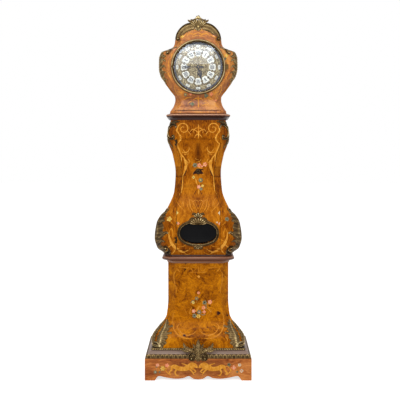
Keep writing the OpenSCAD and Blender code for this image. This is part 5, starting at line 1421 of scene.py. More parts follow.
ground = disc("dial_ground", 6.2, 163, 84, 360, engraved, DIAL_FACE, -2.5)
middle = disc("dial_middle", 6.2, 60, 60, 360, rosette, DIAL_FACE, 0.1)
blue_rim = disc("blue_rim", 139, 155, 16, 240, blue_band, DIAL_FACE, 0.1)
fit(settle(ground), "case", "dial_brass", "worked_brass", "dial_plate")
fit(settle(middle), "case", "dial_brass", "worked_brass", "dial_centre")
fit(settle(blue_rim), "case", "blue_enamel", "blue_enamel", "dial_rim")
for ring in (ground, middle, blue_rim):
    print(ring.name, round(ring.dimensions.x, 3), "m across")

# %% [markdown]
# Each hour sits on its own domed shield of white enamel. The shields are alike, so one drawing is turned to
# twelve places, and a smaller one outside it carries the minutes.

# %% Enamel shields
HOURS_AT, MINUTES_AT = 87, 129


def shield(angle, r, height, outer, inner, dome):
    def put(u, v, depth):
        t = (v + 1) / 2
        width = (inner + (outer - inner) * t) / 2 * (1 - 0.16 * math.cos(2 * math.pi * v) * abs(u))
        reach = height / 2 * v * (1 - 0.1 * abs(u) ** 3)
        lift = 1.4 + dome * (1 - u**4) * (1 - v**4)
        return on_dial(angle, r, 0.1 if depth else lift, DIAL_FACE, u * width, reach), 0.5
    return bent_board(f"shield_{angle:03d}", steps(-1, 1, 0.2), steps(-1, 1, 0.2), put)


shields = [shield(30 * h, HOURS_AT, 41, 41, 29, 1.2) for h in range(12)]
shields += [shield(30 * h, MINUTES_AT, 14, 26, 25, 0.7) for h in range(12)]
print("shields", len(shields))
fit(settle(join("enamel_shields", *shields)), "case", "enamel", "white_enamel", "dial_plaques")

# %% [markdown]
# The figures are painted, with strokes that are broad on one side and fine on the other. Each stroke is a
# thin tile, listed by its two ends and its width round the middle of the letter, with a fine serif across its
# ends.

# %% Painted figures
TALL, BROAD, FINE_STROKE, SERIF = 10.5, 4.2, 2.0, 1.8
GLYPHS = {
    "I": (7.4, [(0, -TALL, 0, TALL, BROAD), (-3.3, TALL, 3.3, TALL, SERIF),
        (-3.3, -TALL, 3.3, -TALL, SERIF)]),
    "V": (12.5, [(-4.0, TALL, 0.4, -TALL, BROAD), (4.2, TALL, 0.4, -TALL, FINE_STROKE),
        (-6.0, TALL, -1.6, TALL, SERIF), (2.4, TALL, 6.0, TALL, SERIF)]),
    "X": (12.5, [(-4.2, TALL, 4.2, -TALL, BROAD), (4.2, TALL, -4.2, -TALL, FINE_STROKE),
        (-6.0, TALL, -2, TALL, SERIF), (2.4, TALL, 6.0, TALL, SERIF),
        (-6.0, -TALL, -2, -TALL, SERIF), (2.4, -TALL, 6.0, -TALL, SERIF)]),
}
NUMERALS = ["XII", "I", "II", "III", "IV", "V", "VI", "VII", "VIII", "IX", "X", "XI"]


def tile(angle, r, x0, z0, x1, z1, width):
    run = Vector((x1 - x0, z1 - z0)).normalized()
    side = Vector((-run.y, run.x)) * width / 2
    ends = [Vector((x0, z0)) - run * 0.4, Vector((x1, z1)) + run * 0.4]
    outline = [ends[0] + side, ends[0] - side, ends[1] - side, ends[1] + side]
    verts = [on_dial(angle, r, lift, DIAL_FACE, p.x, p.y) for lift in (2.2, 3.0) for p in outline]
    return verts, [(0, 1, 2, 3), (7, 6, 5, 4), (0, 4, 5, 1), (1, 5, 6, 2), (2, 6, 7, 3), (3, 7, 4, 0)]


verts, faces = [], []
for hour, text in enumerate(NUMERALS):
    total = sum(GLYPHS[c][0] for c in text)
    squeeze = min(1.0, 28 / total)
    x = -total / 2
    for c in text:
        wide, strokes = GLYPHS[c]
        for x0, z0, x1, z1, w in strokes:
            v, f = tile(30 * hour, HOURS_AT, (x + wide / 2 + x0) * squeeze, z0,
                (x + wide / 2 + x1) * squeeze, z1, w * (squeeze if abs(x1 - x0) < abs(z1 - z0) else 1))
            faces += [tuple(i + len(verts) for i in face) for face in f]
            verts += v
        x += wide
for mark in range(12):
    for u in (-5, 0, 5):
        v, f = tile(30 * mark, MINUTES_AT, u, -3.5, u, 3.5, SERIF)
        faces += [tuple(i + len(verts) for i in face) for face in f]
        verts += [p + Vector((0, 0.5 * MM, 0)) for p in v]
print("strokes", len(verts) // 8)
figures = outward(mesh_piece("painted_figures", verts, faces))
fit(settle(figures), "case", "blue_enamel", "figure_blue")

# %% [markdown]
# The bezel is a turned brass ring with a rolled outer bead and a roped inner bead, and it holds a domed
# glass.

# %% Bezel and glass
def bezel_profile(a, r):
    outer = math.sqrt(max(0.0, 1 - ((r - 162.2) / 6.6) ** 2)) * 9.4
    rope = math.sqrt(max(0.0, 1 - ((r - 153.6) / 3.6) ** 2))
    twist = 0.5 + 0.5 * math.cos(math.radians(72 * a) + (r - 153.6) * 1.1)
    lift = 3.0 + max(outer, rope * (5.2 + 1.5 * twist))
    dip = math.exp(-(((r - 157.2) / 0.9) ** 2))
    return lift, min(1, max(0.05, 0.3 + 0.55 * (outer / 9.4) ** 3 + 0.5 * rope * (twist - 0.3) - 0.5 * dip))


bezel = disc("bezel_ring", 150.2, 169, 38, 432, bezel_profile, BEZEL_FACE, 0.0)
fit(settle(bezel), "bezel_door", "gilt_bronze", "bezel_brass", "bezel")

GLASS_EDGE, GLASS_BOW, GLASS_THICK = 149.5, 14, 2.4
sphere = (GLASS_EDGE**2 + GLASS_BOW**2) / (2 * GLASS_BOW)


def glass_place(a, r, depth):
    """A cap of a sphere, 2.4 mm thick, that stands 14 mm proud in its middle."""
    lift = 5.0 + math.sqrt(sphere * sphere - min(r, GLASS_EDGE) ** 2) - sphere + GLASS_BOW
    return on_dial(a, r, lift - GLASS_THICK * depth, BEZEL_FACE)


glass = bent_board("domed_glass", steps(0, 360, 3), steps(0, GLASS_EDGE, 7.5), glass_place, closed=True)
fit(settle(glass), "bezel_door", "clear_glass", "clear_glass", "dial_glass")
print("bezel", [round(v, 3) for v in bezel.dimensions], "glass", [round(v, 3) for v in glass.dimensions])

# %% [markdown]
# The hour hand is sawn and pierced: a stem that opens into two loops and closes to a leaf-shaped point. The
# minute hand is longer and plainer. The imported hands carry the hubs, and the pierced work lies on them, a
# little proud.

# %% Pierced hands
def hand_strips(angle, plane, *strips):
    """Flat strips of steel on a hand that points at the angle; each has its points and its lift."""
    place = lambda x, z, lift: on_dial(angle, 0.0, lift, plane, x, z)
    return [strap("hand_strip", points, lambda v, t, lift=lift: (lift, 0.5, 1.0), place, 0.2, 4)
        for points, lift in strips]


hour_strips = [([(0, -14, 5), (0, 0, 9), (0, 24, 6)], 2.0),
    ([(0, 54, 5), (0, 62, 11), (0, 70, 6), (0, 77, 2)], 2.0)]
for hand in (1, -1):
    hour_strips += [([(0, 22, 5), (9 * hand, 28, 5), (12 * hand, 38, 5), (7 * hand, 50, 5), (0, 56, 5)], 2.0),
        ([(0, 36, 4), (5 * hand, 40, 4), (5 * hand, 47, 3), (0, 50, 3)], 2.0)]
minute_strips = [([(0, 58, 3), (6 * hand, 66, 4), (5 * hand, 76, 4), (0, 84, 3)], 2.0) for hand in (1, -1)]
minute_strips.append(([(0, -34, 6), (0, -24, 9), (0, -12, 5)], 1.5))
hour_hand = outward(join("hour_hand_pierced", *hand_strips(166, -71.0, *hour_strips)))
fit(settle(hour_hand), "hour_pipe", "blued_steel", "blued_steel")
minute_hand = outward(join("minute_hand_pierced", *hand_strips(270, -77.0, *minute_strips)))
fit(settle(minute_hand), "centre_arbor", "blued_steel", "blued_steel")
print("hands", [round(v, 3) for v in hour_hand.dimensions], [round(v, 3) for v in minute_hand.dimensions])

# %% [markdown]
# Marquetry is a picture cut from thin sheets of coloured wood and let into the ground veneer. It could be
# painted by a material, but cut pieces keep their sharp edges at any distance, so each leaf and strap is a
# strip of veneer that follows a line and lies on the curved case, a third of a millimetre proud. The lines
# follow those in the photograph, point by point, in columns and rows of its pixels. A pixel is 6.01 mm on the
# plinth's face, and a little more on the faces that stand further back.

# %% From the photograph's pixels to the case
PIXEL, MIDDLE_COLUMN, GROUND_ROW, KEYHOLE_ROW = 6.01, 198.2, 381.5, 171.0
EYE_HEIGHT, EYE_AWAY, PLINTH_FACE = 1462.0, 3500.0, -187.0


def drawn(stage, column, row):
    flat_x, flat_z = (column - MIDDLE_COLUMN) * PIXEL, (GROUND_ROW - row) * PIXEL
    x, z = flat_x, flat_z
    for _ in range(4):
        face = PLINTH_FACE if stage == "plinth" else front_at(stage, z)
        back = 1 + (face - PLINTH_FACE) / EYE_AWAY
        x, z = flat_x * back, EYE_HEIGHT + (flat_z - EYE_HEIGHT) * back
    return x, z


print("the keyhole is at", [round(v, 1) for v in drawn("trunk", MIDDLE_COLUMN, KEYHOLE_ROW)])

# %% [markdown]
# The door swings, so a strap that crosses its edge is sawn through there, as on the real clock. Each line is
# split into runs that lie on the door, above it, below it or beside it, and no run passes the gap.

# %% Sawing a line at the door's edge
NEAR, ACROSS_GAP = 0.8, 2.8


def zone(stage, x, z):
    if stage != "trunk":
        return "case"
    if z >= DOOR_TOP + 1:
        return "above"
    if z <= DOOR_FOOT - 1:
        return "below"
    return "door" if abs(x) < door_edge(z) + 1 else "beside"


def kept_in(part, stage):
    put = facing(PLINTH_FACE) if stage == "plinth" else on_stage(stage)
    side = lambda x: -1 if x < 0 else 1

    def place(x, z, lift):
        if part == "door":
            z = min(max(z, DOOR_FOOT + NEAR), DOOR_TOP - NEAR)
            x = side(x) * min(abs(x), door_edge(z) - NEAR)
        elif part == "above":
            z = max(z, DOOR_TOP + ACROSS_GAP)
        elif part == "below":
            z = min(z, DOOR_FOOT - ACROSS_GAP)
        elif part == "beside":
            x = side(x) * max(abs(x), door_edge(z) + ACROSS_GAP)
        return put(x, z, lift)
    return place


print("the bulge at x 160 is on the", zone("trunk", 160, 849), "part, and at x 100 on the",
    zone("trunk", 100, 849))

# %% [markdown]
# Every cut piece is kept in a list for its wood and the body that it lies on, and the lists are joined at the
# end. Pieces that overlap lie a few hundredths of a millimetre apart, so that no two faces share one plane.

# %% Cutting and laying the strips
SUNK = -0.2
FINE = {"trunk": 0.78, "pedestal": 0.7, "plinth": 1.0, "hood": 0.8}
laid = {}


def keep(wood, part, piece):
    laid.setdefault((wood, "door" if part == "door" else "case"), []).append(piece)


def next_height(low):
    return low + 0.02 * (sum(len(pieces) for pieces in laid.values()) % 9)


def veneer_strip(path, place, cells, proud):
    last = len(path) - 1

    def put(v, j, depth):
        j = int(j)
        ahead = path[min(j + 1, last)] - path[max(j - 1, 0)]
        across = Vector((-ahead.y, ahead.x))
        across = across.normalized() if across.length > 1e-6 else Vector((1, 0))
        reach = v * path[j].z / 2
        return place(path[j].x + across.x * reach, path[j].y + across.y * reach, SUNK if depth else proud)
    return bent_board("inlay", steps(-1, 1, 2 / cells), list(range(last + 1)), put)


def lay(wood, stage, *lines, twice=True, cells=2):
    """Lines of (column, row, width in mm), drawn for the left half and laid on both sides, or laid once."""
    for line in lines:
        rows = [Vector((*drawn(stage, c - (0.4 if twice else 0), r), w)) for c, r, w in line]
        for hand in ((1, -1) if twice else (1,)):
            path = [Vector((p.x * hand, p.y, p.z * FINE[stage])) for p in smooth_path(rows, 5)]
            run, part = [], None
            for p in path + [None]:
                here = zone(stage, p.x, p.y) if p is not None else None
                if here != part:
                    if p is not None and run:
                        run.append(p)
                    if len(run) > 1:
                        keep(wood, part, veneer_strip(run, kept_in(part, stage), cells, next_height(0.24)))
                    run, part = ([p] if p is not None else []), here
                elif p is not None:
                    run.append(p)


print("strips are cut to", FINE, "of the drawn width")

# %% [markdown]
# A flower is a disc with scalloped petals, often with a heart of another wood. A volute is a line that winds
# inwards.

# %% Flowers and volutes
def bloom(wood, stage, column, row, r, petals=5, heart=None):
    x, z = drawn(stage, column, row)
    part = zone(stage, x, z)
    place, proud = kept_in(part, stage), next_height(0.42)

    def put(a, k, depth):
        reach = 1.2 * r * k * (1 - 0.3 * k * (0.5 - 0.5 * math.cos(petals * a)))
        return place(x + reach * math.cos(a), z + reach * math.sin(a), SUNK if depth else proud)
    keep(wood, part, bent_board("flower", steps(0, 2 * math.pi, math.pi / 15), [0, 0.5, 1], put, closed=True))
    if heart:
        def middle(a, k, depth):
            return place(x + 0.34 * r * k * math.cos(a), z + 0.34 * r * k * math.sin(a),
                0.3 if depth else proud + 0.2)
        keep(heart, part, bent_board("heart", steps(0, 2 * math.pi, math.pi / 6), [0, 1], middle,
            closed=True))


def volute(column, row, r, start, turns, wide):
    """A volute that winds clockwise; its middle and r are in pixels of the photograph."""
    count = max(8, round(turns * 12))
    line = []
    for i in range(count + 1):
        k = i / count
        a, reach = math.radians(start - 360 * turns * k), r * (1 - 0.75 * k)
        line.append((column + reach * math.cos(a), row - reach * math.sin(a), wide * (1 - 0.5 * k)))
    return line


def bunch(stage, flowers):
    """Flowers of (wood, column, row, radius in mm, petals, wood of the heart)."""
    for wood, *flower in flowers:
        bloom(wood, stage, *flower)


def print_laid():
    print("pieces laid so far",
        {f"{wood} on the {body}": len(pieces) for (wood, body), pieces in laid.items()})


print("a volute of one turn has", len(volute(0, 0, 6, 0, 1, 8)), "points")

# %% [markdown]
# Strapwork frames the trunk: a volute in each upper corner, a strap down each edge that opens into leaves,
# and a fan above the window. Between them hangs a bouquet from a small dark vase round the keyhole.

# %% Strapwork on the trunk
lay("golden", "trunk",
    [(176.6, 130.5, 3)] + volute(183.9, 127.8, 6.2, 185, 1.35, 8),
    [(177.0, 127.5, 4), (177.6, 130.5, 9), (180, 133.5, 5), (182.4, 135.6, 2)],
    [(177.6, 129, 5), (179.6, 133.5, 6), (181.2, 137.4, 14), (179.4, 141.0, 9), (177.4, 142.6, 4)],
    [(177.2, 141.6, 3), (178.2, 145.5, 9), (180.2, 150, 10), (181.6, 153, 8), (184.2, 156.6, 7),
        (187.6, 160.6, 5), (189, 162.2, 2)],
    [(182.5, 151.4, 3), (185.0, 151.4, 8), (187.6, 151.0, 8), (189.6, 148.4, 6), (189.4, 145.6, 3)],
    [(182.6, 147.4, 2), (184.0, 149.4, 6), (186.4, 151.8, 4)],
    [(184.5, 153.6, 3), (187.0, 152.8, 5), (189.8, 152.8, 2)],
    [(181.2, 153, 3), (181.8, 157, 8), (181.9, 160.6, 2)],
    [(183.6, 154.6, 4), (185.5, 159.4, 14), (186.5, 163.5, 22), (185.6, 168.0, 19), (184.4, 172.4, 11),
        (183.2, 176, 5)],
    [(183.2, 174, 3), (183.0, 179, 8), (182.8, 184, 9), (181.6, 189.4, 12), (180.0, 194.5, 4)],
    [(188.6, 157.6, 3), (189.8, 159.6, 6), (189.8, 162.4, 2)],
    [(188.4, 130.4, 3), (190.2, 132.2, 5), (191.0, 134.0, 2)],
    [(190.6, 131.0, 2), (192.6, 128.6, 5), (195.4, 129.2, 6), (198.6, 131.6, 3)],
    [(198.5, 126.8, 3), (195.6, 127.8, 5), (193.6, 130.6, 3), (195.2, 132.4, 2)],
    [(198.4, 132.8, 3), (196.4, 134.2, 6), (194.8, 136.6, 3)],
    cells=3)
lay("golden", "trunk",
    [(198.5, 123.6, 2), (198.5, 126, 12), (198.5, 129, 6), (198.5, 132, 9), (198.5, 135, 11),
        (198.5, 138.2, 2)],
    twice=False)
print_laid()

# %% [markdown]
# Above the window a fan of faint leaves opens upwards.

# %% The fan
lay("faint", "trunk",
    [(189.2, 197.6, 3), (190.0, 201, 8), (190.8, 205.5, 9), (193.4, 210.6, 5)],
    [(192.2, 198.4, 3), (193.4, 202, 6), (195.6, 206, 5), (197.4, 210.6, 3)],
    [(190, 198.2, 4), (193.4, 200.4, 5), (196, 198.8, 5), (198.5, 200.4, 4)],
    [(186.8, 202, 2), (188.4, 206, 5), (191.2, 210.8, 3)],
    [(195.4, 200.6, 2), (196.9, 204.0, 4), (198.0, 208, 3)],
    [(177.4, 200.6, 2), (179.4, 204, 6), (182.6, 207.4, 6), (185.6, 211.0, 3)],
    [(181.0, 196.4, 2), (183.0, 200.4, 5), (184.4, 205.4, 3)],
    [(198.7, 159.6, 2), (197.2, 161.6, 5), (197.4, 163, 2)])
print_laid()

# %% [markdown]
# The stems of the bouquet curl out of the dark vase, and the keyhole lies in the vase's middle.

# %% Stems and vase
lay("golden", "trunk",
    [(198.7, 158.6, 2), (196.7, 158.3, 2), (195.2, 156.9, 2)],
    [(201.4, 157.8, 2), (199.6, 160.0, 3), (197.6, 161.6, 2)],
    [(195.6, 168.6, 2), (194.0, 170.8, 4), (192.6, 172.2, 2)],
    [(202.4, 167.4, 3), (199.6, 166.4, 9), (197, 166.8, 3)],
    [(201.2, 171.2, 3), (203.4, 171.8, 5), (202.0, 174.0, 2)],
    [(195.2, 177.4, 3), (196.2, 179.6, 8), (196.5, 182.0, 6), (198.4, 184, 2)],
    [(199.0, 187.4, 3), (198.8, 190.4, 7), (198.6, 193.2, 3)], twice=False)
lay("dark", "trunk",
    [(192.6, 173.2, 3), (194.6, 171.6, 20), (197.4, 170.6, 34), (200.4, 171.0, 30), (203.4, 172.4, 4)],
    [(199.6, 168.6, 16), (202.4, 168.4, 8), (204.2, 169.0, 2)],
    [(196.4, 188.6, 2), (195.4, 190.8, 4), (194.0, 193.2, 2)],
    [(200.0, 189.6, 2), (201.0, 191.4, 4), (202.0, 193.6, 2)], twice=False)
lay("dark", "trunk", [(187.0, 168.0, 2), (186.2, 170.6, 7), (184.6, 173.6, 6), (183.0, 175.8, 2)])
print_laid()

# %% [markdown]
# Flowers are cut in pink, yellow and grey-green woods, some with a heart of another colour.

# %% The trunk's bouquet
bunch("trunk", [
    ("green", 195.0, 164.0, 13, 6, "dark"), ("pink", 199.2, 164.0, 12, 5, "golden"),
    ("pink", 205.0, 163.2, 12, 5, "golden"), ("yellow", 193.6, 176.0, 9, 4, "green"),
    ("green", 200.7, 178.9, 13, 6, "yellow"), ("pink", 198.8, 185.6, 11, 5, "cream"),
    ("yellow", 202.5, 184.6, 8, 5), ("green", 201.0, 187.6, 9, 4),
    ("pink", 201.9, 165.2, 6, 4)])
print_laid()

# %% [markdown]
# Round the window, flowers lean in from both sides over a pair of broad acanthus scrolls. The scrolls cross
# the door's edge, and the flowers furthest out stand on the case.

# %% Scrolls and flowers beside the window
lay("golden", "trunk",
    [(169.2, 231, 3), (169.6, 236, 12), (171.6, 241.6, 20), (175.2, 246.4, 22), (180.4, 249.8, 19),
        (186.4, 252.4, 4)],
    [(172.4, 243.4, 4), (168.6, 246.6, 9), (167.0, 250.2, 4)],
    [(176.0, 247.4, 4), (174.6, 250.6, 8), (172.2, 252.8, 3)],
    [(184.0, 250.6, 3), (187.6, 249.8, 7), (190.2, 247.8, 3)], cells=3)
lay("faint", "trunk",
    [(169.4, 232, 3), (171.6, 227.6, 7), (173.4, 231.6, 8), (172.2, 236.4, 4)],
    [(171.0, 241, 3), (174.8, 239.4, 6), (176.8, 236.2, 3)],
    [(176.6, 214.0, 2), (175.2, 218.4, 4), (176.4, 222, 2)],
    [(170.2, 219.6, 2), (172.8, 222.6, 4), (175.4, 224.6, 2)],
    [(188.4, 240.8, 2), (184.6, 245.0, 5), (180.2, 246.2, 3)],
    [(193.0, 251.4, 3), (189.0, 253.2, 6), (184.4, 253.8, 2)])
bunch("trunk", [
    ("yellow", 176.3, 211.6, 11, 4, "cream"), ("yellow", 169.2, 218.0, 14, 5, "golden"),
    ("pink", 178.2, 222.4, 8, 4), ("green", 176.4, 221.8, 7, 4),
    ("cream", 220.0, 212.0, 10, 4, "yellow"), ("green", 227.0, 218.0, 12, 5, "dark"),
    ("pink", 219.4, 222.7, 8, 4, "cream"), ("cream", 217.0, 221.4, 5, 4)])
print_laid()

# %% [markdown]
# The pedestal has a fainter frame of straps with a crest above, and a loose bouquet a little below its
# middle.

# %% Pedestal
lay("faint", "pedestal",
    [(176.6, 266.6, 4), (178.4, 268.8, 11), (180.4, 271.2, 4)],
    [(178.8, 266.6, 3), (182.2, 266.2, 5), (186.6, 267.0, 8), (189.6, 266.8, 3)],
    [(190.6, 266.8, 3), (192.0, 268.0, 7), (193.0, 270.8, 5)],
    [(190.4, 271.2, 4), (194.4, 271.3, 6), (198.6, 271.1, 5)],
    [(194.6, 270.6, 3), (196.4, 267.4, 5), (195.6, 265.4, 2)],
    [(177.4, 268, 3), (174.6, 272.6, 8), (174.2, 277.6, 9), (175.2, 283.4, 9), (176.6, 288.2, 12),
        (176.4, 292.6, 3)],
    [(174.8, 310.8, 3), (173.2, 316.4, 8), (172.8, 322.4, 10), (174.0, 328.4, 10), (177.0, 333.4, 11),
        (182.4, 337.2, 12), (188.2, 338.6, 11), (192.8, 338.2, 4)],
    [(193.2, 333.0, 3), (189.0, 335.2, 8), (182.4, 333.2, 9), (178.6, 328.6, 8), (177.8, 325.6, 7),
        (181.0, 322.4, 3)],
    [(196.6, 330.8, 2), (193.8, 333.4, 7), (189.6, 334.6, 3)],
    [(171.4, 336.6, 4), (169.6, 338.6, 10), (169.0, 341.6, 4)],
    [(183.4, 306.4, 2), (186.0, 311.0, 3), (187.8, 315.4, 2)])
lay("faint", "pedestal", [(198.6, 265.4, 2), (198.6, 268, 9), (198.6, 270.6, 3)],
    [(204.6, 304.6, 2), (208.6, 306.8, 4), (212.0, 311.4, 3)],
    [(206.4, 303.6, 2), (211, 301.6, 3), (215.6, 298.6, 2)],
    twice=False)
lay("golden", "pedestal",
    [(199.6, 305.4, 12), (197.6, 308.2, 18), (196.0, 311, 8)],
    [(198.6, 293.6, 2), (197.6, 297, 3), (196.6, 302, 2)],
    [(201.6, 299.4, 2), (203.0, 304.4, 4), (201.6, 309.0, 2)],
    [(206.4, 306.4, 3), (208.4, 308.6, 6), (211.6, 311.6, 3)],
    [(192.0, 306.4, 2), (190.0, 309.6, 3), (189.6, 313.6, 2)], twice=False)
lay("green", "pedestal",
    [(194.6, 299.4, 2), (192.0, 300.4, 7), (190.4, 302.6, 2)],
    [(207.0, 303.4, 2), (205.8, 305.8, 7), (206.8, 308.6, 2)],
    [(200.6, 313.4, 2), (203.4, 314.4, 7), (205.6, 313.4, 2)], twice=False)
bunch("pedestal", [
    ("golden", 198.7, 275.6, 8, 4), ("pink", 198.5, 292.0, 8, 5, "golden"),
    ("green", 196.6, 297.6, 10, 5, "golden"), ("yellow", 193.2, 301.8, 9, 6, "green"),
    ("green", 204.6, 301.8, 12, 5, "dark"), ("pink", 210.0, 301.2, 12, 5, "golden"),
    ("pink", 203.5, 307.0, 11, 5, "golden"), ("pink", 204.2, 311.2, 9, 4),
    ("green", 199.2, 311.6, 13, 6, "pink"), ("pink", 193.8, 310.4, 11, 5, "cream"),
    ("green", 194.4, 315.0, 12, 5, "dark"), ("yellow", 198.4, 315.6, 12, 6, "golden"),
    ("dark", 218.6, 312.4, 11, 3), ("dark", 227.6, 315.9, 5, 4),
    ("dark", 184.3, 335.3, 7, 2), ("dark", 229.0, 330.0, 5, 3)])
print_laid()

# %% [markdown]
# Two beasts leap at each other along the plinth, a common device on such furniture, with flowers behind them.
# One is drawn and its mirror image faces it.

# %% Plinth
lay("golden", "plinth",
    [(171.2, 369.4, 6), (172.6, 367.6, 18), (175.2, 367.4, 26), (179.2, 369.2, 27), (184.6, 369.6, 27),
        (189.4, 367.8, 34), (192.2, 366.4, 40), (194.8, 366.2, 30), (196.8, 367.4, 17), (198.0, 368.8, 6)],
    [(172.8, 368.4, 12), (171.2, 371.4, 11), (169.4, 373.8, 7), (171.6, 375.2, 5)],
    [(176.6, 370.6, 12), (175.2, 373.2, 9), (176.6, 376.0, 7), (179.0, 376.2, 4)],
    [(181.6, 363.8, 2), (184.6, 365.0, 6), (187.6, 366.2, 10), (190.0, 366.6, 12)],
    [(191.6, 368.4, 14), (194.6, 370.6, 9), (196.2, 372.4, 6), (193.8, 373.6, 4)],
    [(189.6, 369.6, 12), (192.6, 372.6, 8), (194.6, 375.8, 4)],
    [(167.2, 368.6, 3), (166.0, 371.2, 6), (168.0, 374.0, 5), (170.6, 376.0, 2)],
    [(171.6, 367.4, 3), (169.4, 366.8, 5), (167.8, 368.6, 2)], cells=4)
lay("faint", "plinth",
    [(159.6, 370.4, 2), (158.0, 368.8, 4), (156.8, 367.6, 2)],
    [(164.6, 367.4, 2), (164.0, 369.4, 4), (165.6, 371.6, 2)],
    [(154.0, 371.0, 2), (157.2, 371.6, 4), (159.8, 370.8, 2)])
bunch("plinth", [
    ("pink", 157.2, 365.8, 10, 5, "cream"), ("green", 156.4, 367.4, 6, 4),
    ("yellow", 162.6, 369.2, 13, 6, "golden"), ("pink", 166.8, 366.0, 11, 5),
    ("green", 155.0, 372.8, 10, 5, "cream"), ("green", 159.4, 372.8, 6, 4),
    ("green", 229.2, 365.4, 10, 5, "dark"), ("pink", 234.0, 368.4, 13, 4, "cream"),
    ("cream", 239.8, 365.6, 9, 5, "green"), ("cream", 241.8, 371.6, 10, 4, "pink"),
    ("green", 237.4, 372.6, 6, 4)])
print_laid()

# %% [markdown]
# Above the dial a faint scroll fills the arch, and below it flowers spring from a small lily. A dark strip
# along the hood's foot is painted shadow, for the gap between the hood and its ledge.

# %% Hood
lay("golden", "hood",
    [(199.0, 28.6, 2), (196.4, 31.0, 6), (193.8, 29.0, 6), (191.0, 30.4, 3)],
    [(198.6, 32.6, 3), (194.6, 34.4, 7), (190.4, 33.6, 6), (187.4, 35.6, 2)],
    [(186.6, 33.6, 2), (184.4, 36.4, 6), (180.8, 37.6, 5), (178.8, 40.4, 2)],
    [(182.0, 41.0, 2), (179.0, 42.6, 5), (177.6, 46.0, 2)],
    [(170.2, 58.0, 2), (169.0, 63.0, 5), (169.6, 68.6, 2)],
    [(198.4, 98.4, 3), (196.0, 97.6, 6), (193.6, 99.2, 3)],
    [(192.6, 96.4, 2), (187.6, 97.0, 5), (183.2, 99.6, 2)],
    [(182.4, 101.4, 2), (180.6, 104.6, 5), (177.4, 106.6, 2)])
lay("golden", "hood",
    [(198.0, 95.6, 3), (198.2, 98.0, 9), (198.4, 101, 6), (198.4, 104.0, 8), (198.4, 107.2, 2)],
    [(215.6, 94.6, 2), (217.4, 97.0, 4), (216.0, 99.6, 2)],
    [(209.6, 104.8, 2), (205.4, 103.4, 5), (201.4, 105.4, 2)], twice=False)
# painted shadow: a dark strip laid where the hood meets its ledge, standing for the shadow in that gap
lay("dark", "hood", [(175.4, 109.5, 3), (180, 109.5, 6), (216.4, 109.5, 6), (221.0, 109.5, 3)], twice=False)
lay("golden", "hood",
    [(198.4, 35.4, 2), (195.6, 36.0, 5), (192.2, 37.0, 2)],
    [(187.2, 29.6, 2), (184.6, 32.0, 5), (183.6, 34.8, 2)],
    [(171.6, 52.6, 2), (172.4, 56.0, 5), (170.6, 59.0, 2)],
    [(168.2, 71.0, 2), (170.0, 75.4, 5), (173.0, 79.8, 2)],
    [(177.4, 90.0, 2), (181.0, 92.0, 5), (184.4, 91.0, 2)],
    [(187.6, 103.4, 2), (190.6, 101.0, 5), (194.4, 101.6, 2)],
    [(175.0, 84.6, 2), (175.4, 89.2, 5), (178.4, 94.4, 2)])
bunch("hood", [
    ("yellow", 182.0, 36.2, 10, 5, "golden"), ("pink", 214.2, 35.0, 10, 5, "golden"),
    ("pink", 174.0, 48.4, 10, 5, "golden"), ("yellow", 226.4, 55.4, 9, 4),
    ("green", 185.5, 94.0, 9, 5, "yellow"), ("pink", 190.5, 93.4, 8, 5),
    ("green", 206.0, 95.0, 12, 3), ("pink", 211.0, 93.4, 10, 5, "golden"),
    ("green", 192.4, 103.2, 11, 4), ("pink", 215.8, 99.4, 5, 4),
    ("green", 225.2, 58.4, 7, 4)])
print_laid()

# %% [markdown]
# All the pieces of one wood that lie on one body are joined, so that a hundred leaves are one thing to move.

# %% The inlays, one piece for each wood and body
for (wood, body), pieces in laid.items():
    print(wood, "on the", body, len(pieces), "pieces")
    # the dark wood's piece on the case also holds the painted shadow strip at the hood's foot
    inlay = settle(join(f"{wood}_inlay_{body}", *pieces), 60)
    fit(inlay, body, "dark_wood" if wood == "dark" else "figured_wood", wood + "_inlay")

# %% [markdown]
# A brass ring is let into the vase round the keyhole.

# %% Ring round the keyhole
KEYHOLE_Z, RING_INSIDE, RING_WIDE = 1264, 8.6, 3.2


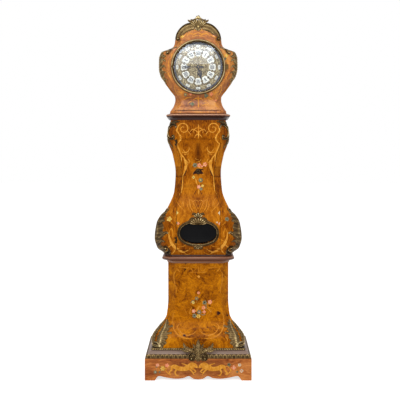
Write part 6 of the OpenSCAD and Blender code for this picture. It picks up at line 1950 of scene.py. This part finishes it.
def ring_place(a, k, depth):
    reach, lift = RING_INSIDE + RING_WIDE * k, 2.6 if depth else 3.4 + 0.8 * math.sin(math.pi * k)
    return on_case("trunk", reach * math.cos(a), KEYHOLE_Z + reach * math.sin(a), lift)


ring = bent_board("keyhole_ring", steps(0, 2 * math.pi, math.pi / 20), steps(0, 1, 0.25), ring_place,
    closed=True)
fit(settle(ring), "door", "gilt_bronze", "rubbed_bronze")
print("ring", [round(v, 4) for v in ring.dimensions])

# %% [markdown]
# The weight hangs in the loop of a gut line, and as it is wound up the line's two runs grow shorter. The runs
# are copied from the construction, so that they stay true to the pulley.

# %% Gut line
deselect()
runs_of_line = bpy.data.objects.new("weight_line_runs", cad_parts["weight_line"].data.copy())
bpy.context.collection.objects.link(runs_of_line)
active(runs_of_line)
bpy.ops.object.mode_set(mode="EDIT")
bpy.ops.mesh.select_all(action="SELECT")
bpy.ops.mesh.remove_doubles(threshold=0.00001)
bpy.ops.object.mode_set(mode="OBJECT")
line_low, line_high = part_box("weight_line")
fit(runs_of_line, "case", "gut_line", "gut_line", "weight_line")
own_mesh(runs_of_line)
print("line", [round(v, 4) for v in line_low], [round(v, 4) for v in line_high])

# %% [markdown]
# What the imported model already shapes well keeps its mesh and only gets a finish: the plinth and its
# brackets, the plain boards inside, the hinges and the lock, and the whole movement.

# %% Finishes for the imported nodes
node_finish = {
    "plinth_veneer": ["plinth_front", "plinth_sides"],
    "carcase_wood": ["plinth_back", "base_board", "trunk_top_board", "seat_board"],
    "plain_bronze": ["bezel_button", "bezel_hinge"],
    "dark_bronze": ["door_hinge_leaves", "door_knuckles", "keyhole_escutcheon"],
    "movement_brass": ["door_lock", "movement_frame", "great_wheel", "winding_drum", "centre_wheel",
        "minute_wheel", "hour_wheel", "third_wheel", "escape_wheel", "back_cock", "pendulum", "pendulum_bob",
        "rating_nut", "weight", "weight_pulley"],
    "blued_steel": ["minute_hand", "hour_hand"],
    "bright_steel": ["pallets", "door_bolt"],
    "window_painted_shade": ["window_glass"],
}
for finish, names in node_finish.items():
    for name in names:
        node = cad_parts[name]
        node.data.materials.clear()
        node.data.materials.append(finishes[finish])
print("packed nodes with a finish", sum(len(names) for names in node_finish.values()))
